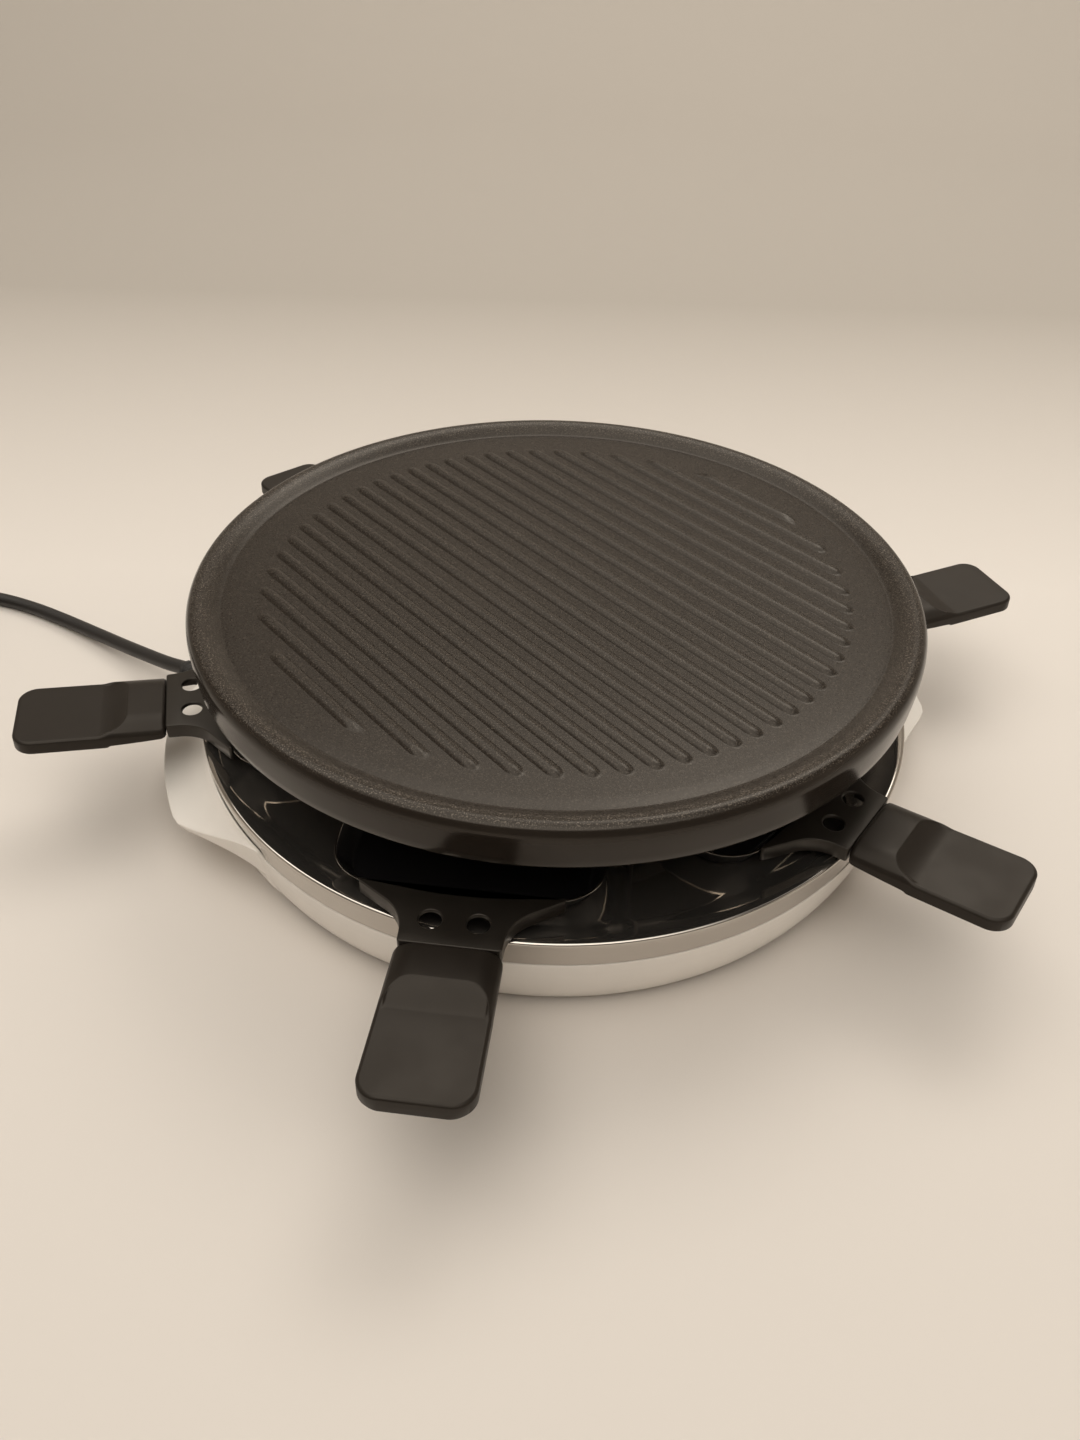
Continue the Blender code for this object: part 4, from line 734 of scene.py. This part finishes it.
def dish_mesh():
    """A pressed dish: rounded floor corner, sloping wall and a blunt rim, one sheet thick."""
    # Inset from the rim and height, in millimetres
    steps = [(7.9, 0.0), (7.2, 0.0), (6.55, 0.08), (6.0, 0.3), (5.55, 0.62), (5.15, 1.1), (4.6, 2.1),
             (2.4, 5.95), (0.35, 9.45), (0.1, 9.75), (0.0, 9.88), (0.05, 9.97), (0.2, 10.0),
             (0.6, 10.0), (0.75, 9.97), (0.82, 9.88), (0.95, 9.7), (1.2, 9.35), (3.25, 5.85), (5.4, 2.2),
             (5.9, 1.5), (6.3, 1.12), (6.75, 0.9), (7.2, 0.81), (7.9, 0.8)]
    outline = dish_outline()
    data = layers("dish", outline, [(g * MM, z * MM) for g, z in steps])
    first, last = [ring * len(outline) for ring in BARE_RINGS]
    for face in data.polygons[first:last]:
        face.material_index = 1
    return data


def collar_outline():
    """Neck, waist and two wings that taper along the dish's rim."""
    rim = [q for q in inset(dish_outline(), RIM_GAP) if q.x > WING_BACK and abs(q.y) < WING_REACH]
    rim.sort(key=lambda q: -q.y)
    half = [(NECK_END, NECK_HALF), (WAIST_PLACE, WAIST_HALF)] + WING_TIP
    corners = half + [tuple(q) for q in rim] + [(x, -y) for x, y in half[::-1]]
    straight = [0] * len(rim)
    radii = COLLAR_RADII + straight + COLLAR_RADII[::-1]
    return filleted(corners, radii, COLLAR_STEPS + straight + COLLAR_STEPS[::-1])


def hole_cutter(side):
    """What bores a collar hole: a rod that widens at the hole's mouth."""
    radius, above, below = HOLE_SIZE / 2, COLLAR_TOP + PAST_TOP, COLLAR_BOTTOM - PAST_BOTTOM
    outline = [(0, above), (radius + HOLE_MOUTH, above)]
    outline += [(radius + wider * MM, COLLAR_TOP - down * MM) for wider, down in HOLE_FLARE]
    outline += [(radius, below), (0, below)]
    place = Matrix.Translation((-HOLE_SETBACK, side * HOLE_STEP / 2, 0))
    return lathe("hole", outline, HOLE_PARTS, place)


def collar_object():
    """The collar: a capped skirted body, hollow below, cut to the rim and bored twice."""
    top, bottom, below = COLLAR_TOP, COLLAR_BOTTOM, COLLAR_BOTTOM - PAST_BOTTOM
    steps = [(grow, bottom + up) for grow, up in COLLAR_FOOT]
    steps += [(COLLAR_SOFT * (1 - math.cos(a)), top - COLLAR_SOFT * (1 - math.sin(a))) for a in COLLAR_ARC]
    made = add("collar", layers("collar", collar_outline(), steps))
    half = [(NECK_END - COLLAR_WALL, NECK_HALF - COLLAR_WALL), (WAIST_PLACE, WAIST_HALF - COLLAR_WALL)]
    half += [(end, HOLLOW_HALF) for end in HOLLOW_ENDS]
    corners = [Vector(q) for q in half + [(x, -y) for x, y in half[::-1]]]
    cut(made, layers("hollow", corners, [(0.0, below), (0.0, top - COLLAR_ROOF)]))
    cut(made, layers("seat", dish_outline(), [(-RIM_GAP, below), (-RIM_GAP, DISH_DEPTH + RIM_GAP)]))
    for side in (-1, 1):
        cut(made, hole_cutter(side))
    return made


# Grip, along X from the slit

GRIP_START = -0.1 * MM
GRIP_LENGTH = 60.3 * MM
GRIP_HALF = 19.05 * MM
GRIP_TALL = 10.2 * MM
GRIP_TILT = 4.0
GRIP_LEVEL = 10.0 * MM
GRIP_PROUD = 1.0 * MM
CROWN_FLAT = 8.0 * MM
CROWN_RUN = 11 * MM
CROWN_DROP = 4.0 * MM
CROWN_CURVE = 2.5
SHOULDER_START = 19.5 * MM
SHOULDER_RUN = 8 * MM
GRIP_INNER = 2.6 * MM
GRIP_OUTER = 8.0 * MM
GRIP_SOFT = 1.2 * MM
SCOOP_START = 14.9 * MM
SCOOP_RUN = 11.5 * MM
SCOOP_HALF = 17.2 * MM
SCOOP_CORNER = 8.0 * MM
SCOOP_DEPTH = 4.0 * MM
SCOOP_CURVE = 1.6
SCOOP_EDGE = 0.6 * MM
PADDLE_TOP = 6.2 * MM
EDGE_DROP = 1.1 * MM
EDGE_BEVEL = 0.4
UNDER_SOFT = 0.7 * MM
UNDER_SLIM = 0.9
SOCKET_GAP = 0.3 * MM
SOCKET_END = 9.5 * MM
SINK_RADIUS = 3.4 * MM
SINK_BOTTOM = -5 * MM
INNER_PARTS = 7
OUTER_PARTS = 16
# Sections between the inner corners and the scoop, down the scoop and along the paddle
CROWN_STOPS = (3.4 * MM, 4.5 * MM, 6.5 * MM, 9 * MM, 11.5 * MM, 13 * MM, 14 * MM, 14.6 * MM)
SCOOP_STEP = 0.34 * MM
SCOOP_PARTS = 38
PADDLE_START = 28.5 * MM
PADDLE_STEP = 2.5 * MM
PADDLE_PARTS = 10
# Shares of the half width, close together where the scoop's side wall and the edge are
GRIP_ACROSS = [
    0.0, 0.08, 0.16, 0.24, 0.32, 0.40, 0.46, 0.51, 0.55, 0.59, 0.63, 0.67, 0.71, 0.75, 0.78, 0.81, 0.84,
    0.865, 0.885, 0.90, 0.912, 0.922, 0.932, 0.944, 0.956, 0.968, 0.979, 0.989, 0.996, 1.0,
]
# The underside: share of the length, and height in millimetres
GRIP_UNDER = (
    (0.0, 2.9), (0.03, 2.5), (0.13, 1.9), (0.255, 1.3), (0.34, 1.0), (0.375, 0.8), (0.392, 0.1), (0.41, 0.0),
    (1.0, 0.0),
)


def between(table, share):
    """Read a table of (share, value) rows, straight from one row to the next."""
    for (x0, y0), (x1, y1) in zip(table, table[1:]):
        if share <= x1:
            return y0 + (y1 - y0) * (share - x0) / (x1 - x0)
    return table[-1][1]


def grip_top(x, y):
    """Crown with rounded shoulders, a thumb scoop with round corners, and the flat paddle."""
    across = abs(y)
    crown = GRIP_TALL - CROWN_DROP * (max(across - CROWN_FLAT, 0.0) / CROWN_RUN) ** CROWN_CURVE
    share = min(max((x - SCOOP_START) / SCOOP_RUN, 0.0), 1.0)
    scoop = min(crown, PADDLE_TOP + SCOOP_DEPTH * (1 - share) ** SCOOP_CURVE)
    shoulder = crown + (scoop - crown) * smoothstep((x - SHOULDER_START) / SHOULDER_RUN)
    corner = math.hypot(max(SCOOP_START + SCOOP_CORNER - x, 0.0),
                        max(across - SCOOP_HALF + SCOOP_CORNER, 0.0))
    inside = smoothstep((SCOOP_CORNER - corner) / SCOOP_EDGE)
    return shoulder + (scoop - shoulder) * inside


def grip_half(x):
    """Half width of the grip's outline: small round corners inside, large ones outside."""
    half = GRIP_HALF
    if x < GRIP_INNER:
        half -= GRIP_INNER - math.sqrt(GRIP_INNER ** 2 - (GRIP_INNER - x) ** 2)
    if x > GRIP_LENGTH - GRIP_OUTER:
        half -= GRIP_OUTER - math.sqrt(max(GRIP_OUTER ** 2 - (x - GRIP_LENGTH + GRIP_OUTER) ** 2, 0.0))
    return half


def edge_distance(x, y, wide):
    """How far a point of the grip's top lies inside its outline."""
    far = min(wide - abs(y), x, GRIP_LENGTH - x)
    if x > GRIP_LENGTH - GRIP_OUTER and abs(y) > GRIP_HALF - GRIP_OUTER:
        far = min(far, GRIP_OUTER - math.hypot(abs(y) - GRIP_HALF + GRIP_OUTER,
                                               x - GRIP_LENGTH + GRIP_OUTER))
    return max(far, 0.0)


def grip_body():
    """The grip as sections along its length, with rounded edges all round."""
    stops = [GRIP_INNER * (1 - math.cos(math.pi / 2 * k / INNER_PARTS)) for k in range(INNER_PARTS + 1)]
    stops += CROWN_STOPS
    stops += [SCOOP_START + SCOOP_STEP * k for k in range(SCOOP_PARTS)]
    stops += [PADDLE_START + PADDLE_STEP * k for k in range(PADDLE_PARTS)]
    turns = [math.pi / 2 * k / OUTER_PARTS for k in range(OUTER_PARTS + 1)]
    stops += [GRIP_LENGTH - GRIP_OUTER + GRIP_OUTER * math.sin(turn) for turn in turns]
    across = [-share for share in GRIP_ACROSS[:0:-1]] + GRIP_ACROSS
    loops = []
    for x in stops:
        wide = grip_half(x)
        loop = []
        for share in across:
            y = wide * share
            t = max(1 - edge_distance(x, y, wide) / GRIP_SOFT, 0.0)
            drop = EDGE_DROP * (EDGE_BEVEL * t + (1 - EDGE_BEVEL) * (1 - math.sqrt(1 - t * t)))
            loop.append((x, y, grip_top(x, y) - drop))
        slim = max(wide - UNDER_SOFT, wide * UNDER_SLIM)
        under = between(GRIP_UNDER, x / GRIP_LENGTH) * MM
        low = under + UNDER_SOFT
        loop += [(x, wide, low), (x, slim, under), (x, -slim, under), (x, -wide, low)]
        loops.append(loop)
    return rings("grip", loops)


def grip_mesh():
    """The grip, tilted and set in place, with a socket for the tongue and a sink for the screw."""
    made = add("grip", grip_body())
    rise = Matrix.Translation((0.0, 0.0, COLLAR_TOP + GRIP_PROUD - GRIP_LEVEL))
    lean = Matrix.Rotation(-math.radians(GRIP_TILT), 4, "Y")
    made.data.transform(rise @ lean @ Matrix.Translation((GRIP_START, 0, 0)))
    side = TONGUE_HALF + SOCKET_GAP
    cut(made, block("socket", (TONGUE_START, -side, TONGUE_TOP - TONGUE_THICK - SOCKET_GAP),
                    (SOCKET_END, side, TONGUE_TOP + SOCKET_GAP)))
    cut(made, post("sink", SINK_RADIUS, SINK_BOTTOM, HEAD_SEAT, (SCREW_SETBACK, 0, 0)))
    data = made.data
    bpy.data.objects.remove(made)
    return data


def screw_mesh():
    """A pan-head screw seen from below, with a cross slot in its head."""
    profile = [(r * MM, HEAD_SEAT - SCREW_GAP - d * MM) for r, d in SCREW_PROFILE]
    made = add("screw", lathe("screw", profile, BORE_PARTS, Matrix.Translation((SCREW_SETBACK, 0, 0))))
    low, high = SLOT_HEIGHTS
    for x, y in ((SLOT_REACH, SLOT_HALF), (SLOT_HALF, SLOT_REACH)):
        cut(made, block("slot", (SCREW_SETBACK - x, -y, low), (SCREW_SETBACK + x, y, high)))
    data = made.data
    bpy.data.objects.remove(made)
    return data


def tongue_block():
    """The collar's tongue, which the grip's socket takes."""
    return block("tongue", (TONGUE_START, -TONGUE_HALF, TONGUE_TOP - TONGUE_THICK),
                 (TONGUE_END, TONGUE_HALF, TONGUE_TOP))


def tab_block():
    """The sheet tab of the dish that lies in the collar's neck."""
    return block("tab", (TAB_PLACE[0], -TAB_HALF, TAB_HEIGHTS[0]), (TAB_PLACE[1], TAB_HALF, TAB_HEIGHTS[1]))


collar = collar_object()
tongue = tongue_block()
grip = grip_mesh()
dish = dish_mesh()
tab = tab_block()
screw = screw_mesh()

for number in range(len(PANS)):
    place, body = pan_place(number), f"pan_{number + 1}"
    tail = f"_{number + 1}"
    made = piece("dish" + tail, placed(joined("dish", dish, tab), place), "dish", body, "pan_dish" + tail)
    made.data.materials.append(MATERIALS["edge"])
    for index, face in enumerate(dish.polygons):
        made.data.polygons[index].material_index = face.material_index
    piece("collar" + tail, placed(joined("collar", collar.data, tongue), place), "collar", body,
          "pan_collar" + tail)
    piece("grip" + tail, placed(grip, place), "grip", body, "pan_grip" + tail)
    piece("screw" + tail, placed(screw, place), "screw", body, "grip_screw" + tail)
bpy.data.objects.remove(collar)

# Cord

CORD_EXIT = around(152.95 * MM, 159.18, 16.5 * MM)
CORD_WAY = around(1.0, 129.5)
CORD_SIZE = 7.0 * MM
GLAND_LENGTH = 35.5 * MM
GLAND_OVERLAP = 6 * MM
LEAD_START = 7 * MM
LEAD_PARTS = 5
# The lead from the gland to the coil, in millimetres
ROUTE = (
    (-176.0, 93.9, 13.7), (-193.0, 116.0, 9.2), (-210.7, 138.0, 6.0), (-229.0, 158.8, 4.3),
    (-247.3, 176.8, 3.6), (-266.0, 190.6, 3.6), (-286.0, 200.1, 3.6), (-305.0, 205.0, 3.6),
)
COIL_CENTRE = Vector((-327.0, 159.0, 0.0)) * MM
COIL_RADIUS = 47.5 * MM
COIL_PITCH = 7.6 * MM
COIL_TURNS = 2.25
COIL_START = math.radians(88.0)
COIL_POINTS = 24
COIL_PARTS = 2
FLOOR_GAP = 0.1 * MM
PLUG_HEIGHT = 18.25 * MM
TAIL_LENGTH = 39 * MM
TAIL_PARTS = 8


def coil_route():
    """The wound length: in along the floor, up a layer, out again, then off to the plug."""
    low = CORD_SIZE / 2 + FLOOR_GAP
    inner = COIL_RADIUS - COIL_PITCH * COIL_TURNS
    steps, half = round(COIL_TURNS * COIL_POINTS), COIL_POINTS // 2
    spots = [(k, COIL_RADIUS - COIL_PITCH * k / COIL_POINTS, low) for k in range(steps + 1)]
    for k in range(1, half):
        near = min(k, half - k)
        spots.append((steps + k, inner - COIL_PITCH * near / COIL_POINTS,
                      low + COIL_PITCH * (1 - math.cos(math.pi * k / half)) / 2))
    spots += [(steps + half + k, inner + COIL_PITCH * k / COIL_POINTS, low + COIL_PITCH)
              for k in range(steps + 1)]
    loops = [COIL_CENTRE + turned(r, COIL_START + TAU * n / COIL_POINTS, z) for n, r, z in spots]
    arm = loops[-1] - COIL_CENTRE
    way = Vector((-arm.y, arm.x, 0.0)).normalized()
    last, climb = loops[-1], PLUG_HEIGHT - loops[-1].z
    for k in range(1, TAIL_PARTS + 1):
        share = k / TAIL_PARTS
        loops.append(last + way * TAIL_LENGTH * share + Vector((0.0, 0.0, climb * smoothstep(share))))
    loops.append(loops[-1] + way * CORD_SIZE)
    return loops


def dense(points, parts):
    """A smooth curve through the points, with that many parts between each two."""
    out = []
    padded = [points[0] * 2 - points[1]] + list(points) + [points[-1] * 2 - points[-2]]
    for a, b, c, d in zip(padded, padded[1:], padded[2:], padded[3:]):
        for k in range(parts):
            t = k / parts
            out.append(((b * 2) + (c - a) * t + (a * 2 - b * 5 + c * 4 - d) * t ** 2
                        + (b * 3 - a - c * 3 + d) * t ** 3) / 2)
    return out + [points[-1].copy()]


start = CORD_EXIT + CORD_WAY * (GLAND_LENGTH - GLAND_OVERLAP)
lead = [start, start + CORD_WAY * LEAD_START] + [Vector(p) * MM for p in ROUTE]
line = dense(lead, LEAD_PARTS) + dense(coil_route(), COIL_PARTS)
curve = bpy.data.curves.new("cord_line", "CURVE")
curve.dimensions = "3D"
curve.bevel_depth = CORD_SIZE / 2
curve.bevel_resolution = 6
curve.use_fill_caps = True
spline = curve.splines.new("POLY")
spline.points.add(len(line) - 1)
for point, where in zip(spline.points, line):
    point.co = (*where, 1.0)
cord = piece("power_cord", curve, "cord", "base", "cord_lead", "cord_coil", slot="cord_lead")

# CAD parts that show as they are, by the start of their name

NODE_SHARP = 32.0
NODE_LOOKS = {
    "base_cover": "cover", "foot_": "rubber", "heating_element": "element", "element_bracket": "sheet",
    "terminal_shroud": "sheet", "terminal_block": "ceramic", "cord_gland": "rubber",
    "plug_body": "plug", "plug_pin": "pin",
}
for node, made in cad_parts.items():
    for start_of_name, look in NODE_LOOKS.items():
        if node.startswith(start_of_name):
            made.data.materials.clear()
            made.data.materials.append(MATERIALS[look])
            made.data.shade_smooth()
            made.data.set_sharp_from_angle(angle=math.radians(NODE_SHARP))

# Stage

BACK = Vector((0.281, 0.960, 0.0))
PAPER = (0.73, 0.686, 0.643)
FLOOR_REACH = 1.35
COVE_REACH = 2.25
COVE_TOP = 2.3
FLOOR_RINGS = (0.0, 0.6, 1.0)
SWEEP_PARTS = 24
COVE_PARTS = 128
# Painted shade and painted light along BACK: where each starts, where it is full, and its colour; painted
# shade on the floor behind the grill, painted light high up behind, and the darkest painted shade far in
# front
PAPER_PAINTED_SHADING = (
    (0.15, 0.62, (0.410, 0.377, 0.339)),
    (1.9, 2.2, (0.60, 0.555, 0.505)),
    (-0.58, -1.1, (0.30, 0.278, 0.257)),
)


def stage_mesh():
    """A round studio: a floor that sweeps up on one large curve into a wall all round."""
    curve = COVE_REACH - FLOOR_REACH
    profile = [(radius, 0.0) for radius in FLOOR_RINGS]
    for k in range(SWEEP_PARTS + 1):
        a = math.pi / 2 * k / SWEEP_PARTS
        profile.append((FLOOR_REACH + curve * math.sin(a), curve * (1 - math.cos(a))))
    profile.append((COVE_REACH, COVE_TOP))
    return lathe("cove", profile, COVE_PARTS)


def cove_paper():
    """Pale paper, with painted shade behind the grill, painted light high up and the darkest painted shade
    far in front.
    """
    m = Nodes("cove_paper", PAPER, 0.75)
    m.tint(m.ramp(m.noise(1.2, 2.0), 0.0, 0.25), (0.70, 0.655, 0.612))
    along = m.measure("DOT_PRODUCT", m.place, BACK)
    # Each row blends in painted shade or painted light along BACK
    for first, full, tone in PAPER_PAINTED_SHADING:
        m.tint(m.ramp(along, 0.0, 1.0, first, full), tone)
    m.bump(m.noise(700.0, 2.0), 0.02 * MM, 0.3)
    return m.material


cove = add("cove", stage_mesh())
cove.data.materials.append(cove_paper())
cove.data.shade_smooth()

# Light

LIGHT_TINT = (1.0, 0.94, 0.85)
# Name, place, size and power; each lamp faces the middle of the floor
LAMPS = (
    ("back_right", (1.05, 1.05, 1.95), 1.1, 8.0),
    ("back", (0.35, 1.25, 2.0), 1.2, 3.5),
    ("left", (-1.0, 0.6, 2.1), 1.2, 4.0),
)
# Direction, the cosines between which the glow grows, and its strength
SKY = (
    ((-0.24, -0.57, 0.8), 0.60, 1.0, 2.50),
    ((0.0, 0.6, 0.8), 0.60, 1.0, 1.60),
)


def lamp(name, spot, size, power):
    """A round soft lamp that faces the middle of the floor."""
    light = bpy.data.lights.new(name, "AREA")
    light.shape = "DISK"
    light.size = size
    light.energy = power
    light.color = LIGHT_TINT
    made = add(name, light)
    made.location = spot
    made.rotation_euler = (-Vector(spot)).to_track_quat("-Z", "Y").to_euler()


for name, spot, size, power in LAMPS:
    lamp(name, spot, size, power)


def room_world():
    """Soft light through the open top of the studio, from above the front and the back."""
    world = bpy.data.worlds.new("room")
    world.use_nodes = True
    tree = world.node_tree
    light = tree.nodes["Background"]
    light.inputs["Color"].default_value = (*LIGHT_TINT, 1.0)
    place = tree.nodes.new("ShaderNodeTexCoord").outputs["Generated"]
    total = None
    for way, low, high, strength in SKY:
        facing = tree.nodes.new("ShaderNodeVectorMath")
        facing.operation = "DOT_PRODUCT"
        facing.inputs[1].default_value = Vector(way).normalized()
        tree.links.new(place, facing.inputs[0])
        level = tree.nodes.new("ShaderNodeMapRange")
        level.interpolation_type = "SMOOTHSTEP"
        for socket, value in zip(level.inputs[1:5], (low, high, 0.0, strength)):
            socket.default_value = value
        tree.links.new(facing.outputs["Value"], level.inputs[0])
        if total:
            both = tree.nodes.new("ShaderNodeMath")
            tree.links.new(total, both.inputs[0])
            tree.links.new(level.outputs[0], both.inputs[1])
            total = both.outputs[0]
        else:
            total = level.outputs[0]
    tree.links.new(total, light.inputs["Strength"])
    return world


bpy.context.scene.world = room_world()

# Camera

# Its place, and its turns about X, Y and Z in degrees
CAMERA_SPOT = (-0.12045, -0.39152, 0.35573)
CAMERA_TURN = (50.3544, -1.2308, -15.2833)
FRAME_HEIGHT = 36.0
LENS = 28.0
NEAR = 0.01

camera_data = bpy.data.cameras.new("camera")
camera_data.sensor_fit = "VERTICAL"
camera_data.sensor_height = FRAME_HEIGHT
camera_data.lens = LENS
camera_data.clip_start = NEAR
camera = add("camera", camera_data)
camera.location = CAMERA_SPOT
camera.rotation_euler = [math.radians(degrees) for degrees in CAMERA_TURN]
bpy.context.scene.camera = camera
bpy.context.scene.view_settings.view_transform = "Standard"
